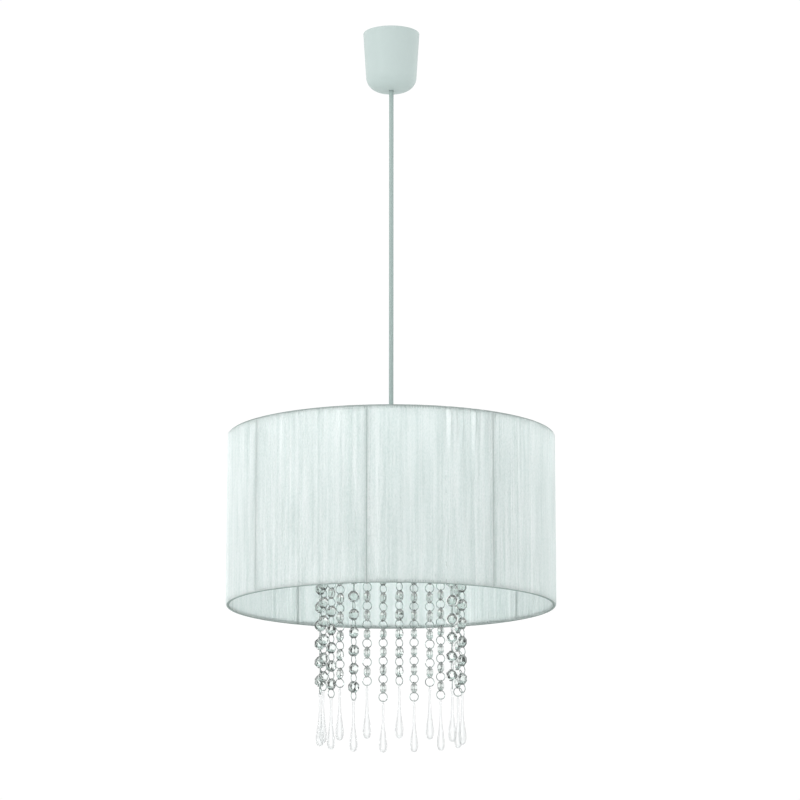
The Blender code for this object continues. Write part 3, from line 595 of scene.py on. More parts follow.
def pearly_polyester_thread(light, dark):
    """Twisted polyester thread: bright, softly shining yarns that let some light through."""
    material, tree, shader, coordinates = start_material(
        "pearly_polyester_thread", light, 0.5, Sheen_Weight=0.3, Specular_IOR_Level=0.3)
    add = partial(add_node, tree)
    own = add('Attribute', {'attribute_name': "piece_shade"})
    # Every thread has its own tone, neighbours share slow streaks, and slubs of 3 mm break the tone
    mapping = add('Mapping', {"Scale": (1.0, 1.0, 0.05), "Vector": coordinates})
    drift = add('TexNoise', {"Scale": per_metre(4.8), "Detail": 1.0, "Vector": mapping})
    shorter = add('Mapping', {"Scale": (1.0, 1.0, 0.4), "Vector": coordinates})
    slubs = add('TexNoise', {"Scale": per_metre(1.1), "Detail": 1.0, "Vector": shorter})
    own_weight = 0.3
    slub_weight = 1.6
    tone = add('Math', {'operation': 'MULTIPLY_ADD', 0: own.outputs["Fac"], 1: own_weight, 2: drift})
    broken = add('Math', {'operation': 'MULTIPLY_ADD', 0: slubs, 1: slub_weight, 2: tone})
    centred = add('MapRange', {"From Min": 0.9, "From Max": 1.85, "Value": broken})
    colour = add('Mix', {'data_type': 'RGBA', 0: centred, 6: (*dark, 1.0), 7: (*light, 1.0)})
    # Painted shadow: where a thread lies on a wire, its colour is darkened and less light passes through it,
    # so rings and ribs show as darker lines
    wire_shade = painted_wire_shadow(tree, coordinates, reach=0.0052)
    shadow = add('Mix', {'data_type': 'RGBA', 0: wire_shade, 6: colour.outputs[2], 7: (*linear("#7C9690"), 1.0)})
    # The twist of two yarns, 1.6 mm from turn to turn
    twist = add('TexWave',
                {'bands_direction': 'Z', "Scale": per_metre(1.6) * tau / 20, "Distortion": 3.0,
                 "Vector": coordinates})
    bump = add('Bump', {"Strength": 0.6, "Distance": 0.00012, "Height": twist.outputs["Fac"]})
    tree.links.new(shadow.outputs[2], shader.inputs["Base Color"])
    tree.links.new(bump.outputs[0], shader.inputs["Normal"])
    through = add('BsdfTranslucent', {"Color": shadow.outputs[2], "Normal": bump})
    free = add('MapRange', {"To Min": 0.86, "To Max": 0.3, "Value": wire_shade})
    both = add('MixShader', {0: free, 1: shader, 2: through})
    tree.links.new(both.outputs[0], tree.nodes["Material Output"].inputs["Surface"])
    return material


def enamelled_wire(colour):
    """Powder enamel on steel wire: a satin skin with a faint orange peel."""
    return grained_material("enamelled_wire", colour, 0.4, grain=1.1, height=0.00004, rough=(0.35, 0.5),
                            darkest=0.93, Coat_Weight=0.2)


def moulded_polypropylene(colour):
    """Moulded polypropylene: silky, slightly waxy, with a fine eroded grain of 0.4 mm."""
    return grained_material("moulded_polypropylene", colour, 0.5, grain=0.4, height=0.00003,
                            rough=(0.46, 0.58), darkest=0.97, Specular_IOR_Level=0.4)


def extruded_pvc_sheath(name, colour):
    """Extruded soft PVC: satin, with faint draw lines that run along the cord."""
    return grained_material(name, colour, 0.45, grain=0.55, height=0.00004, rough=(0.4, 0.52), darkest=0.94,
                            stretch=(1.0, 1.0, 0.02))


def moulded_polyester_resin(colour):
    """Glass-filled polyester of lampholders and terminals: hard, satin, faintly mottled."""
    return grained_material("moulded_polyester_resin", colour, 0.4, grain=0.65, height=0.00002,
                            rough=(0.35, 0.45), darkest=0.95)


def zinc_plated_steel():
    """Bright zinc plate on steel: cool grey with a faint spangle of 2 mm grains."""
    colour = linear("#C9CDCE")
    material, tree, shader, coordinates = start_material("zinc_plated_steel", colour, 0.35, Metallic=1.0)
    cells = add_node(tree, 'TexVoronoi', {"Scale": per_metre(2.2), "Vector": coordinates})
    spread = add_node(tree, 'MapRange', {"To Min": 0.26, "To Max": 0.44, "Value": cells.outputs["Color"]})
    mixed = add_node(tree, 'Mix',
                     {'data_type': 'RGBA', 0: cells.outputs["Color"], 6: (*shaded(colour, 0.86), 1.0),
                      7: (*colour, 1.0)})
    tree.links.new(spread.outputs[0], shader.inputs["Roughness"])
    tree.links.new(mixed.outputs[2], shader.inputs["Base Color"])
    return material


def chromed_steel(name, roughness):
    """Chrome plate on steel: a hard mirror that takes light and dark edges from what is round it."""
    return grained_material(name, linear("#BFCCC8"), roughness, grain=1.4, height=0.000006,
                            rough=(roughness * 0.6, roughness * 1.6), darkest=0.92, Metallic=1.0)


def painted_edge_shade(tree, shader, colour, share, blend):
    """Painted shade: darken a clear glass's colour where its surface turns edge-on to the eye."""
    facing = add_node(tree, 'LayerWeight', {"Blend": blend})
    mixed = add_node(tree, 'Mix',
                     {'data_type': 'RGBA', 0: facing.outputs["Facing"], 6: (*colour, 1.0),
                      7: (*shaded(colour, share), 1.0)})
    tree.links.new(mixed.outputs[2], shader.inputs["Base Color"])


def cut_crystal(colour):
    """Machine-cut lead crystal: clear and heavy, with flat facets that throw light and dark."""
    material, tree, shader, coordinates = start_material(
        "cut_crystal", colour, 0.0, IOR=1.6, Transmission_Weight=1.0)
    grained(tree, shader, coordinates, 4.0, 0.00001, rough=(0.0, 0.03))
    # Painted shade on the bead's edges
    painted_edge_shade(tree, shader, colour, 0.35, 0.4)
    return material


def pressed_clear_glass(colour):
    """Fire-polished pressed glass: very clear, with slight waves in its surface."""
    material, tree, shader, coordinates = start_material(
        "pressed_clear_glass", colour, 0.0, IOR=1.48, Transmission_Weight=1.0)
    grained(tree, shader, coordinates, 11.0, 0.00001, rough=(0.0, 0.02))
    # Painted shade on the drop's edges
    painted_edge_shade(tree, shader, colour, 0.7, 0.25)
    # So little is seen of such clear glass that part of the light passes as through air
    clear = add_node(tree, 'BsdfTransparent', {"Color": (*colour, 1.0)})
    both = add_node(tree, 'MixShader', {0: 0.8, 1: shader, 2: clear})
    tree.links.new(both.outputs[0], tree.nodes["Material Output"].inputs["Surface"])
    return material


def glazed_steatite():
    """Glazed steatite: a warm white ceramic under a thin clear glaze."""
    return grained_material("glazed_steatite", linear("#EDEAE2"), 0.25, grain=2.0, height=0.00003,
                            rough=(0.2, 0.35), darkest=0.94, Coat_Weight=0.5)


def stamped_brass():
    """Stamped brass: warm and bright, with drawing lines and slightly dulled patches."""
    return grained_material("stamped_brass", linear("#D9B878"), 0.3, grain=0.7, height=0.00001,
                            rough=(0.2, 0.4), darkest=0.85, stretch=(1.0, 1.0, 0.1), Metallic=1.0)


# Operators


class PENDANT_OT_string_cover(bpy.types.Operator):
    """Wind the drum with thread, down its outside and back up its inside"""
    bl_idname = "pendant.string_cover"
    bl_label = "String cover"

    def execute(self, context):
        sizes = context.scene.pendant_shade
        colours = context.scene.pendant_colours
        material = pearly_polyester_thread(colours.thread_light, colours.thread_dark)
        tree, keys = round_the_axis_tree()
        hem = sizes.ring_wire / 2 + sizes.thread / 2 + touch_gap
        ring_radius = sizes.diameter / 2 - hem - sizes.thread / 2
        top = cover_high.z - hem - sizes.thread / 2
        bottom = cover_low.z + hem + sizes.thread / 2
        layers = (("string_outside", 1, 9, 3, 1.0), ("string_inside", -1, 5, 11, 1.7))
        for name, side, run_steps, seed, looseness in layers:
            turns = [pi / 2 * k / 3 for k in range(4)]
            path = [(ring_radius + side * hem * cos(a), 0, bottom - hem * sin(a)) for a in turns[::-1]]
            path += [(path[-1][0], 0, bottom + (top - bottom) * k / run_steps) for k in range(1, run_steps)]
            path += [(ring_radius + side * hem * cos(a), 0, top + hem * sin(a)) for a in turns]
            thread = add_object(name, swept(bmesh.new(), path, sizes.thread / 2, 4), [], 80)
            thread.data.transform(Matrix.Diagonal((1, sizes.flattening, 1, 1)))
            values = {
                "Count": sizes.thread_count, "Start Angle": tau / sizes.thread_count * side / 4,
                "Jitter": 0.18 * looseness, "Stray": sizes.thread / 3 * side,
                "Bunching": sizes.bunching * looseness, "Grain": per_metre(10.5),
                "Top": top, "Loose Depth": 0.085, "Loose Width": sizes.thread * 3.2,
                "Seed": seed, "Material": material,
            }
            placed(grow(thread, tree, keys, values, 80), "pendant", ["string_cover"])
        return {'FINISHED'}


class PENDANT_OT_shade_frame(bpy.types.Operator):
    """Build the welded wire frame that the thread is wound on"""
    bl_idname = "pendant.shade_frame"
    bl_label = "Shade frame"

    def execute(self, context):
        sizes = context.scene.pendant_shade
        # The enamel colour carries painted shade, darker than the real white wire
        enamel_in_shade = enamelled_wire(context.scene.pendant_colours.enamel_in_shade)
        wire = sizes.ring_wire / 2
        reach = sizes.diameter / 2 - sizes.thread * 1.5 - touch_gap - wire
        heights = (cover_high.z - sizes.thread - touch_gap - wire,
                   cover_low.z + sizes.thread + touch_gap + wire)
        fitter_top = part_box("lampholder_cap")[0].z - touch_gap
        fitter_low = plate_high.z + touch_gap
        for node, height in (("shade_top_ring", heights[0]), ("shade_bottom_ring", heights[1])):
            path = [on_circle(reach, tau * i / 180, height) for i in range(180)]
            ring = swept(bmesh.new(), path, wire, 10, closed=True)
            ring = add_object(node.replace("_ring", "_wire"), ring, [enamel_in_shade], 50)
            placed(ring, "pendant", [node])
        hub_outer = 0.027
        hub = [(holder_bore, fitter_top), (hub_outer, fitter_top), (hub_outer, fitter_low),
               (holder_bore, fitter_low)]
        spider = lathe(softened(hub, 0.0005), 72)
        for i in range(arm_count):
            angle = rib_start_angle + tau / rib_count + tau * i / arm_count
            foot_z = (fitter_top + fitter_low) / 2 + sizes.arm_wire / 4
            knee = on_circle(hub_outer + 0.006, angle, foot_z)
            outside = on_circle(reach, angle, heights[0])
            outside += (knee - outside).normalized() * wire
            straight = [outside.lerp(knee, k / 6) for k in range(6)]
            bend = smooth_path([outside.lerp(knee, 0.93), outside.lerp(knee, 0.98),
                                on_circle(hub_outer + 0.003, angle, foot_z),
                                on_circle(hub_outer - 0.002, angle, foot_z)], 4)
            swept(spider, straight + bend, sizes.arm_wire / 2, 12)
            ball(spider, outside, sizes.arm_wire * 0.7, (1.0, 1.0, 0.8))
            ball(spider, on_circle(hub_outer - 0.001, angle, foot_z), sizes.arm_wire * 0.62, (1.1, 1.1, 0.6))
        spider = add_object("spider_arms_and_fitter", spider, [enamel_in_shade], 50)
        placed(spider, "pendant", ["shade_spider"])

        rib_radius = reach + wire - sizes.rib_wire / 2
        rib = bmesh.new()
        swept(rib, [(rib_radius, 0, heights[1] + (heights[0] - heights[1]) * k / 4) for k in range(5)],
              sizes.rib_wire / 2, 10)
        for height in heights:
            ball(rib, (rib_radius - sizes.rib_wire * 0.3, 0, height), sizes.rib_wire * 0.62, (0.9, 1.0, 1.2))
        tree, keys = round_the_axis_tree()
        values = {"Count": rib_count, "Start Angle": rib_start_angle - pi / 2, "Jitter": 0.0, "Stray": 0.0,
                  "Bunching": 0.0, "Grain": 1.0, "Top": 1.0, "Loose Depth": 0.01, "Loose Width": 0.0,
                  "Seed": 1, "Material": enamel_in_shade}
        ribs = grow(add_object("shade_ribs", rib, [], 50), tree, keys, values, 50)
        placed(ribs, "pendant", [f"shade_rib_{i + 1}" for i in range(rib_count)])
        return {'FINISHED'}


class PENDANT_OT_crystal_plate(bpy.types.Operator):
    """Punch the chromed plate that carries the strands"""
    bl_idname = "pendant.crystal_plate"
    bl_label = "Crystal plate"

    def execute(self, context):
        margin = 0.001
        radius = context.scene.pendant_strands.circle_diameter / 2 + margin
        hole_inset = 0.0045
        high = plate_high.z
        low = plate_low.z
        edge = (high - low) / 4
        profile = softened([(holder_bore, high), (radius, high), (radius, low), (holder_bore, low)], edge, 2)
        plate = add_object("plate_disc", lathe(profile, 168),
                           [chromed_steel("chromed_sheet", 0.1)], 30)
        # Each hole's rims are eased, so that its ring can swing without a nick
        hole = 0.0025
        rim = 0.0004
        over = 0.001
        outline = [(0, high + over), (hole + rim + over, high + over), (hole, high - rim), (hole, low + rim),
                   (hole + rim + over, low - over), (0, low - over)]
        drills = []
        for number, angle, _ in strand_places():
            drill = add_object(f"drill_{number:02d}", lathe(outline, 20, closed=False), [])
            drill.data.transform(Matrix.Translation(on_circle(radius - hole_inset, angle, 0)))
            drills.append(drill)
        windows = bmesh.new()
        near = 0.032
        far = 0.071
        spoke = 0.007
        through = 0.004
        for i in range(arm_count):
            middle = rib_start_angle + tau * i / arm_count
            near_half = pi / arm_count - asin(spoke / near)
            far_half = pi / arm_count - asin(spoke / far)
            outline = [(far * sin(a), -far * cos(a)) for a in
                       [middle - far_half + far_half * k / 9 for k in range(19)]]
            outline += [(near * sin(a), -near * cos(a)) for a in
                        [middle + near_half - near_half * k / 6 for k in range(13)]]
            corners = softened(outline, 0.004, 3)
            loops = [[windows.verts.new((x, y, z)) for x, y in corners]
                     for z in (low - through, high + through)]
            bridge(windows, loops, closed=False, capped=True)
        cut(plate, drills + [add_object("windows", windows, [])])
        placed(plate, "pendant", ["crystal_plate"])
        return {'FINISHED'}


def octagon_bead(width, thickness, hole_place, hole_radius):
    """An octagon bead with a table and two rows of facets on each face, and a hole near each end.

    Its faces look along X, and its holes are above and below its middle.
    """
    bm = bmesh.new()
    half = width / 2
    corner = half / cos(pi / 8)
    rows = []
    facets = ((corner, 0.5, 0.16), (half * 0.76, 0.0, 0.66), (corner * 0.42, 0.5, 1.0))
    for side in (1, -1):
        for radius, turn, depth_share in facets:
            angles = [tau * (k + turn) / 8 for k in range(8)]
            rows.append([bm.verts.new((side * thickness / 2 * depth_share, radius * cos(a), radius * sin(a)))
                         for a in angles])
    for first in (0, 3):
        girdle, crown, table = rows[first:first + 3]
        for k in range(8):
            n = (k + 1) % 8
            bm.faces.new((girdle[k], girdle[n], crown[n]))
            bm.faces.new((girdle[k], crown[n], crown[k]))
            bm.faces.new((crown[k], crown[n], table[k]))
            bm.faces.new((crown[n], table[n], table[k]))
        bm.faces.new(table)
    bridge(bm, [rows[0], rows[3]], closed=False)
    bead = add_object("bead", bm, [], 1)
    drill = bmesh.new()
    for end in (1, -1):
        swept(drill, [(-thickness, 0, end * hole_place), (thickness, 0, end * hole_place)], hole_radius, 8)
    cut(bead, [add_object("drill", drill, [])])
    bead.data.shade_flat()
    return bead


class PENDANT_OT_crystal_strands(bpy.types.Operator):
    """Hang the strands: chromed rings through octagon crystal beads"""
    bl_idname = "pendant.crystal_strands"
    bl_label = "Crystal strands"

    def execute(self, context):
        sizes = context.scene.pendant_strands
        metal = chromed_steel("chromed_wire", 0.1)
        glass = cut_crystal(context.scene.pendant_colours.crystal)
        path = upright_circle(sizes.ring_radius, 24)
        ring = add_object("ring", swept(bmesh.new(), path, sizes.ring_wire / 2, 7, closed=True), [], 60)
        bead = octagon_bead(sizes.bead_width, sizes.bead_thickness, sizes.pitch / 2 - sizes.ring_radius,
                            sizes.ring_wire * 0.72)
        tree, keys = strand_tree()
        for number, angle, facing in strand_places():
            turn = angle - pi / 2
            twist = (facing - turn + pi / 2) % pi - pi / 2
            name = f"rings_and_beads_{number:02d}"
            strand = bpy.data.objects.new(name, bpy.data.meshes.new(name))
            context.scene.collection.objects.link(strand)
            values = {
                "Ring Count": sizes.ring_count, "Pitch": sizes.pitch,
                "First Height": -(sizes.ring_radius - sizes.ring_wire / 2), "Twist": twist,
                "Twist Rings": float(strand_twist_rings), "Wobble": radians(9), "Turn": turn,
                "Place": on_circle(sizes.circle_diameter / 2, angle, plate_high.z + touch_gap), "Ring": ring,
                "Bead": bead, "Metal": metal, "Glass": glass, "Seed": 39 + number,
            }
            grow(strand, tree, keys, values, 25)
            placed(strand, f"strand_{number:02d}", [f"crystal_strand_{number:02d}"])
        bpy.data.objects.remove(ring)
        bpy.data.objects.remove(bead)
        return {'FINISHED'}


class PENDANT_OT_glass_drops(bpy.types.Operator):
    """Hang a long pressed glass drop on the last ring of each strand"""
    bl_idname = "pendant.glass_drops"
    bl_label = "Glass drops"

    def execute(self, context):
        sizes = context.scene.pendant_strands
        glass = pressed_clear_glass(context.scene.pendant_colours.glass)
        bulb = sizes.drop_width / 2
        eye_radius = 0.0021
        eye_wire = 0.0013
        top = 0.0012
        shares = [(0.062, 0.0), (0.064, 0.16), (0.075, 0.27), (0.11, 0.3), (0.24, 0.27), (0.38, 0.31),
                  (0.5, 0.41), (0.6, 0.56), (0.7, 0.76), (0.79, 0.94), (0.86, 1.0), (0.92, 0.92),
                  (0.965, 0.7), (0.99, 0.38), (1.0, 0.0)]
        spots = [(bulb * thick, top - sizes.drop_length * down, 0) for down, thick in shares]
        profile = [(max(0.0, point.x), point.y) for point in smooth_path(spots, 2)]
        profile[0] = (0.0, profile[0][1])
        profile[-1] = (0.0, profile[-1][1])
        for number, angle, facing in strand_places():
            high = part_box(f"glass_drop_{number:02d}")[1]
            drop = lathe(profile, 20, closed=False)
            drop = add_object(f"drop_{number:02d}", drop, [glass], 60)
            path = upright_circle(eye_radius, 20, eye_wire / 2 - eye_radius)
            eye = add_object("eye", swept(bmesh.new(), path, eye_wire / 2, 10, closed=True), [glass], 60)
            cut(drop, [eye], 'UNION')
            spot = on_circle(sizes.circle_diameter / 2, angle, high.z - top)
            drop.data.transform(Matrix.Translation(spot) @ Matrix.Rotation(facing + pi / 2, 4, 'Z'))
            placed(drop, f"drop_{number:02d}", [f"glass_drop_{number:02d}"])
        return {'FINISHED'}


class PENDANT_OT_ceiling_cup(bpy.types.Operator):
    """Mould the ceiling cup, with the collar inside it that grips the cord"""
    bl_idname = "pendant.ceiling_cup"
    bl_label = "Ceiling cup"

    def execute(self, context):
        sizes = context.scene.pendant_fittings
        plastic = moulded_polypropylene(context.scene.pendant_colours.cup)
        wall = sizes.cup_wall
        top = cup_high.x
        bottom_radius = 0.0315
        rounding = 0.018
        turn_centre = bottom_radius - rounding
        hole = sizes.cord / 2 + touch_gap
        collar = 0.0075
        bottom = cup_low.z
        floor = bottom + wall
        rim = cup_high.z
        turns = [pi / 2 * k / 12 for k in range(13)]
        outside = [(turn_centre + rounding * cos(a), bottom + rounding - rounding * sin(a)) for a in turns]
        inside = [(turn_centre + (rounding - wall) * cos(a),
                   bottom + rounding - (rounding - wall) * sin(a)) for a in turns[::-1]]
        below = rim - 0.012
        lip = softened([(top - wall, below), (top - wall, rim), (top, rim), (top, below)], wall * 0.48, 4,
                       closed=False)[1:-1]
        collar_top = floor + 0.003
        mouth = softened([(hole + 0.004, bottom), (hole, bottom), (hole, collar_top), (collar, collar_top),
                          (collar, floor), (collar + 0.003, floor)], 0.0007, 3, closed=False)
        cup = add_object("cup_shell", lathe(lip + outside + mouth + inside, 96), [plastic], 40)
        placed(cup, "cup", ["ceiling_cup"])
        return {'FINISHED'}


class PENDANT_OT_cord(bpy.types.Operator):
    """Run the round cord from the grip in the cup to the lampholder"""
    bl_idname = "pendant.cord"
    bl_label = "Cord"

    def execute(self, context):
        sizes = context.scene.pendant_fittings
        curve = bpy.data.curves.new("cord_sheath", 'CURVE')
        curve.dimensions = '3D'
        curve.bevel_depth = sizes.cord / 2
        curve.bevel_resolution = 5
        curve.use_fill_caps = True
        spline = curve.splines.new('POLY')
        spans = 31
        spline.points.add(spans)
        length = cord_high.z - cord_low.z
        for i, point in enumerate(spline.points):
            point.co = (0, 0, cord_high.z - length * i / spans, 1)
        curve.materials.append(extruded_pvc_sheath("extruded_pvc_sheath", context.scene.pendant_colours.cord))
        cord = bpy.data.objects.new("cord_sheath", curve)
        context.scene.collection.objects.link(cord)
        placed(cord, "pendant", ["pendant_cord"])
        return {'FINISHED'}


class PENDANT_OT_lampholder(bpy.types.Operator):
    """Turn the lampholder: cap, threaded body, insulator, screw shell, contact and ring nut"""
    bl_idname = "pendant.lampholder"
    bl_label = "Lampholder"

    def execute(self, context):
        sizes = context.scene.pendant_fittings
        resin = moulded_polyester_resin(linear("#BFC9C6"))
        brass = stamped_brass()
        low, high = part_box("lampholder_cap")
        cord_hole = 0.0031
        outline = [(cord_hole, high.z), (0.0065, high.z), (0.0065, high.z - 0.007), (0.0197, low.z + 0.02),
                   (0.0215, low.z + 0.0182), (0.0215, low.z + 0.003), (0.024, low.z + 0.003), (0.024, low.z),
                   (holder_bore, low.z), (holder_bore, low.z + 0.0164), (cord_hole, low.z + 0.0182)]
        cap = add_object("holder_cap", lathe(softened(outline, 0.0007), 72), [resin], 35)
        placed(cap, "pendant", ["lampholder_cap"])

        low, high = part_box("lampholder_body")
        body = threaded((0.0195, 0.0165), sizes.thread_pitch, 0.0009, (high.z, low.z), 72, False)
        placed(add_object("holder_body", body, [resin], 50), "pendant", ["lampholder_body"])

        low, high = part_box("lampholder_insulator")
        base = high.z - 0.009
        outline = [(0, high.z), (0.0162, high.z), (0.0162, low.z), (0.0147, low.z), (0.0147, base),
                   (0.004, base), (0.004, base - 0.004), (0, base - 0.004)]
        body = lathe(softened(outline, 0.0004, 2, closed=False), 56, closed=False)
        base = add_object("steatite_base", body, [glazed_steatite()], 35)
        placed(base, "pendant", ["lampholder_insulator"])

        low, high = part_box("screw_shell")
        body = threaded((0.0145, 0.0139), sizes.lamp_pitch, 0.0009, (high.z, low.z), 64, True)
        placed(add_object("lamp_shell", body, [brass], 50), "pendant", ["screw_shell"])
        contact = eased("centre_contact", "contact_tongue", 0.0002, [brass])
        placed(contact, "pendant", ["centre_contact"])

        low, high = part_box("shade_ring")
        bm = bmesh.new()
        steps = 192
        grips = 24
        rows = [(holder_bore, high.z, 0), (0.0252, high.z, 0), (0.026, high.z - 0.0008, 0),
                (0.026, high.z - 0.003, 0), (0.026, high.z - 0.0036, 1), (0.026, low.z + 0.0008, 1),
                (0.0252, low.z, 1), (holder_bore, low.z, 0)]
        loops = []
        for radius, z, cut_share in rows:
            ring = []
            for i in range(steps):
                wave = max(0.0, cos(tau * grips * i / steps)) ** 2
                r = radius - 0.0008 * cut_share * wave
                ring.append(bm.verts.new((r * cos(tau * i / steps), r * sin(tau * i / steps), z)))
            loops.append(ring)
        bridge(bm, loops)
        placed(add_object("ring_nut", bm, [resin], 35), "pendant", ["shade_ring"])
        return {'FINISHED'}


class PENDANT_OT_ceiling_fixing(bpy.types.Operator):
    """Build the hook plate, the suspension ring, the cord grip and the terminals under the cup"""
    bl_idname = "pendant.ceiling_fixing"
    bl_label = "Ceiling fixing"

    def execute(self, context):
        zinc = zinc_plated_steel()
        brass = stamped_brass()
        resin = moulded_polyester_resin(linear("#BFC9C6"))
        low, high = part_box("hook_plate")
        thick = 0.0024
        half = high.y
        reach = high.x - half
        edge = 0.0005
        slab = bmesh.new()
        loops = []
        for inset, z in ((edge, 0), (0, -edge), (0, -thick + edge), (edge, -thick)):
            outline = [(side * reach + (half - inset) * cos(a), (half - inset) * sin(a))
                       for side, first in ((1, -pi / 2), (-1, pi / 2))
                       for a in [first + pi * k / 20 for k in range(21)]]
            loops.append([slab.verts.new((x, y, z)) for x, y in outline])
        bridge(slab, loops, closed=False, capped=True)
        plate = add_object("ceiling_plate", slab, [zinc], 35)
        drills = []
        over = thick + 0.0003
        outline = [(0, 0.004), (0.00225, 0.004), (0.00225, -0.0009), (0.0041, -over), (0, -over)]
        for side in (-1, 1):
            drill = add_object("drill", lathe(outline, 28, closed=False), [])
            drill.data.transform(Matrix.Translation((side * reach, 0, 0)))
            drills.append(drill)
        cut(plate, drills)
        hook_wire = 0.0018
        hook_end = 0.00179
        bowl = 0.0066
        centre_z = -thick - 0.003 - bowl
        first = pi / 2
        last = -pi / 2 - radians(118)
        bend = [(bowl * cos(a), 0, centre_z + bowl * sin(a)) for a in
                [first + (last - first) * k / 36 for k in range(37)]]
        hook = swept(bmesh.new(), [(0, 0, -thick / 2), (0, 0, -thick - 0.0015)] + bend, hook_wire, 16)
        ball(hook, bend[-1], hook_end)
        cut(plate, [add_object("hook_wire", hook, [])], 'UNION')
        placed(plate, "ceiling_hook", ["hook_plate"])

        low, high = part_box("suspension_ring")
        middle = (low.z + high.z) / 2
        wire = 0.0013
        loop = (high.z - low.z) / 2 - wire
        path = [(0, x, z) for x, _, z in upright_circle(loop, 48, middle)]
        ring = add_object("hanging_ring", swept(bmesh.new(), path, wire, 14, closed=True), [zinc], 60)
        placed(ring, "hanger", ["suspension_ring"])

        for node, name in (("cord_grip_body", "grip_block"), ("cord_grip_clamp", "grip_jaw"),
                           ("terminal_block", "terminal_housing")):
            placed(eased(node, name, 0.0004, [resin]), "pendant", [node])
        live = extruded_pvc_sheath("brown_pvc", linear("#6B4326"))
        neutral = extruded_pvc_sheath("blue_pvc", linear("#2A5CA8"))
        for node, name, material, slot in (("wire_live", "brown_core", live, "live_plastic"),
                                           ("wire_neutral", "blue_core", neutral, "neutral_plastic")):
            placed(eased(node, name, 0.0001, [material]), "pendant", [node])
        kinds = (("cord_grip_screw", zinc, "zinc_steel"), ("terminal_screw", brass, "brass"))
        screws = [(f"{kind}_{number}", *rest) for kind, *rest in kinds for number in (1, 2)]
        for node, material, slot in screws:
            low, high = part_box(node)
            head = (high.x - low.x) / 2
            centre = (low + high) / 2
            shank = head * 0.54
            depth = head * 0.8
            outline = [(0, high.y), (head * 0.6, high.y), (head, high.y - depth / 2), (head, high.y - depth),
                       (shank, high.y - depth), (shank, low.y), (0, low.y)]
            body = lathe(softened(outline, head * 0.25, 3, closed=False), 28, closed=False)
            screw = add_object(node + "_turned", body, [material], 35)
            slots = bmesh.new()
            size = Matrix.Diagonal((head * 2.4, head * 0.3, head * 0.7, 1))
            bmesh.ops.create_cube(slots, size=1.0, matrix=Matrix.Translation((0, 0, high.y)) @ size)
            cut(screw, [add_object("slot", slots, [])])
            lying = Matrix.Rotation(-pi / 2, 4, 'X')
            screw.data.transform(Matrix.Translation((centre.x, 0, centre.z)) @ lying)
            placed(screw, "pendant", [node])
        return {'FINISHED'}


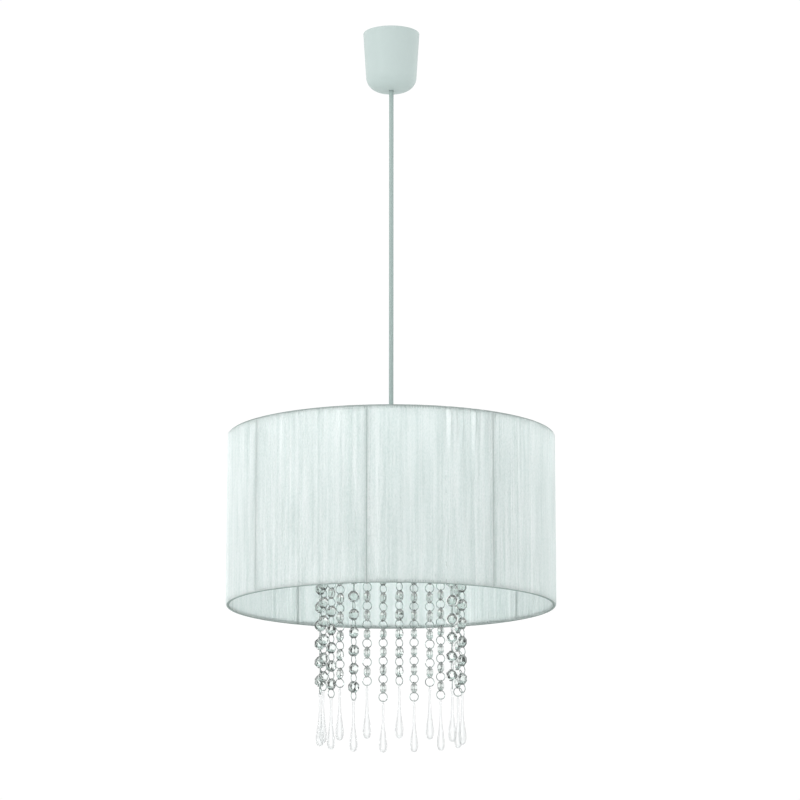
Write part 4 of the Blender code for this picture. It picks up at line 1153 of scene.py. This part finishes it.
class PENDANT_OT_stage(bpy.types.Operator):
    """Set the pale floor, the soft light and the camera at the photograph's angle"""
    bl_idname = "pendant.stage"
    bl_label = "Stage"

    def execute(self, context):
        settings = context.scene.pendant_stage
        scene = context.scene
        scene.view_settings.view_transform = 'Standard'
        scene.view_settings.look = 'None'

        floor_mesh = bmesh.new()
        bmesh.ops.create_grid(floor_mesh, x_segments=2, y_segments=2, size=60.0,
                              matrix=Matrix.Translation((0, 0, -settings.floor_depth)))
        paint, tree, shader, coordinates = start_material(
            "pale_floor_paint", linear("#ECEEED"), 0.9, Emission_Color=(1, 1, 1, 1), Emission_Strength=0.05)
        grained(tree, shader, coordinates, 33.0, 0.0002, tones=(linear("#E8EAE9"), linear("#EFF0EF")))
        floor = add_object("floor", floor_mesh, [paint])
        # Glass and chrome see the dark edge of the studio floor, which the world gives, not the pale paint
        floor.visible_glossy = False
        floor.visible_transmission = False

        world = bpy.data.worlds.new("Studio")
        world.use_nodes = True
        scene.world = world
        tree = world.node_tree
        sky = tree.nodes["Background"]
        add = partial(add_node, tree)
        direction = add('TexCoord').outputs["Generated"]
        parts = add('SeparateXYZ', {0: direction})

        def ramp(value, stops):
            node = add('ValToRGB',
                       {0: add('MapRange', {"From Min": -1.0, "From Max": 1.0, "Value": value}).outputs[0]})
            elements = node.color_ramp.elements
            while len(elements) < len(stops):
                elements.new(0.5)
            for element, (position, tone) in zip(elements, stops):
                element.position = position
                element.color = (tone, tone, tone, 1)
            return node.outputs[0]

        upright = ramp(parts.outputs[2], ((0.0, 0.85), (0.4, 0.95), (0.5, 1.05), (0.7, 1.0), (1.0, 0.75)))
        sideways = ramp(parts.outputs[0], ((0.0, 0.9), (0.5, 1.0), (1.0, 0.84)))
        depthways = ramp(parts.outputs[1], ((0.0, 0.84), (0.5, 0.97), (1.0, 1.8)))
        soft = add('Mix', {'data_type': 'RGBA', 'blend_type': 'MULTIPLY', 0: 1.0, 6: upright, 7: sideways})
        backlit = add('Mix',
                      {'data_type': 'RGBA', 'blend_type': 'MULTIPLY', 0: 1.0, 6: soft.outputs[2],
                       7: depthways})
        tree.links.new(backlit.outputs[2], sky.inputs[0])
        sky.inputs[1].default_value = settings.sky

        # Ten upright dark cards and dark bands at several heights, seen only in what reflects or refracts
        angle = angle_from_front(tree, parts)
        waves = add('Math', {'operation': 'MULTIPLY', 0: angle, 1: 10.0})
        wave = add('Math', {'operation': 'COSINE', 0: waves})
        cards = ramp(wave.outputs[0], ((0.0, 0.04), (0.1, 0.08), (0.3, 1.0), (1.0, 1.05)))
        levels = ramp(parts.outputs[2],
                      ((0.0, 0.9), (0.1, 0.3), (0.2, 1.0), (0.3, 0.35), (0.38, 1.1), (0.64, 1.1), (0.7, 0.35),
                       (0.76, 1.1), (0.86, 0.4), (1.0, 1.1)))
        sharp = add('Mix', {'data_type': 'RGBA', 'blend_type': 'MULTIPLY', 0: 1.0, 6: cards, 7: levels})
        cards_seen = add('Background', {0: sharp.outputs[2], 1: 1.0})
        plain = add('Background', {0: (1.0, 1.0, 1.0, 1.0), 1: 1.02})
        rays = add('LightPath').outputs
        lit = add('MixShader', {0: rays["Is Glossy Ray"], 1: sky, 2: cards_seen})
        both = add('MixShader', {0: rays["Is Camera Ray"], 1: lit, 2: plain})
        tree.links.new(both.outputs[0], tree.nodes["World Output"].inputs[0])

        aim = Vector((0, 0, -0.6))
        for name, place, size, power in (
                ("key_light", (-2.4, -2.6, 0.4), 1.6, settings.key),
                ("rim_light", (2.2, 2.4, 0.2), 1.2, settings.key * 0.15)):
            light = bpy.data.lights.new(name, 'AREA')
            light.shape = 'DISK'
            light.size = size
            light.energy = power
            lamp = bpy.data.objects.new(name, light)
            scene.collection.objects.link(lamp)
            lamp.location = place
            lamp.rotation_euler = (aim - Vector(place)).to_track_quat('-Z', 'Y').to_euler()

        camera_data = bpy.data.cameras.new("camera")
        camera_data.sensor_width = 36.0
        focal_pixels = 3336
        picture_pixels = 800
        tilt = radians(90 + 10.962)
        camera_data.lens = camera_data.sensor_width * focal_pixels / picture_pixels
        camera_data.shift_y = 0.05
        camera_data.clip_start = 0.05
        camera_data.clip_end = 200
        camera = bpy.data.objects.new("camera", camera_data)
        scene.collection.objects.link(camera)
        camera.location = (0.0108, -4.0, -1.2986)
        camera.rotation_euler = (tilt, 0, 0)
        scene.camera = camera
        return {'FINISHED'}


class PENDANT_PT_pieces(bpy.types.Panel):
    """Lists what builds the pendant light"""
    bl_idname = "PENDANT_PT_pieces"
    bl_label = "Drum Pendant Light"
    bl_space_type = 'VIEW_3D'
    bl_region_type = 'UI'
    bl_category = "Pendant"

    def draw(self, context):
        for operator in operators:
            self.layout.operator(operator.bl_idname)
        for name, _ in groups:
            box = self.layout.box()
            settings = getattr(context.scene, name)
            for key in settings.bl_rna.properties.keys():
                if key not in ("rna_type", "name"):
                    box.prop(settings, key)


operators = (
    PENDANT_OT_ceiling_fixing,
    PENDANT_OT_ceiling_cup,
    PENDANT_OT_cord,
    PENDANT_OT_lampholder,
    PENDANT_OT_shade_frame,
    PENDANT_OT_string_cover,
    PENDANT_OT_crystal_plate,
    PENDANT_OT_crystal_strands,
    PENDANT_OT_glass_drops,
    PENDANT_OT_stage,
)
groups = (
    ("pendant_shade", ShadeSizes),
    ("pendant_strands", StrandSizes),
    ("pendant_fittings", FittingSizes),
    ("pendant_colours", FinishColours),
    ("pendant_stage", StageSettings),
)


def register():
    for name, group in groups:
        bpy.utils.register_class(group)
        setattr(bpy.types.Scene, name, bpy.props.PointerProperty(type=group))
    for operator in operators:
        bpy.utils.register_class(operator)
    bpy.utils.register_class(PENDANT_PT_pieces)


def unregister():
    bpy.utils.unregister_class(PENDANT_PT_pieces)
    for operator in reversed(operators):
        bpy.utils.unregister_class(operator)
    for name, group in reversed(groups):
        delattr(bpy.types.Scene, name)
        bpy.utils.unregister_class(group)


def main():
    """Build every piece in order."""
    register()
    for operator in operators:
        category, name = operator.bl_idname.split(".")
        getattr(getattr(bpy.ops, category), name)()


if __name__ == "__main__":
    main()
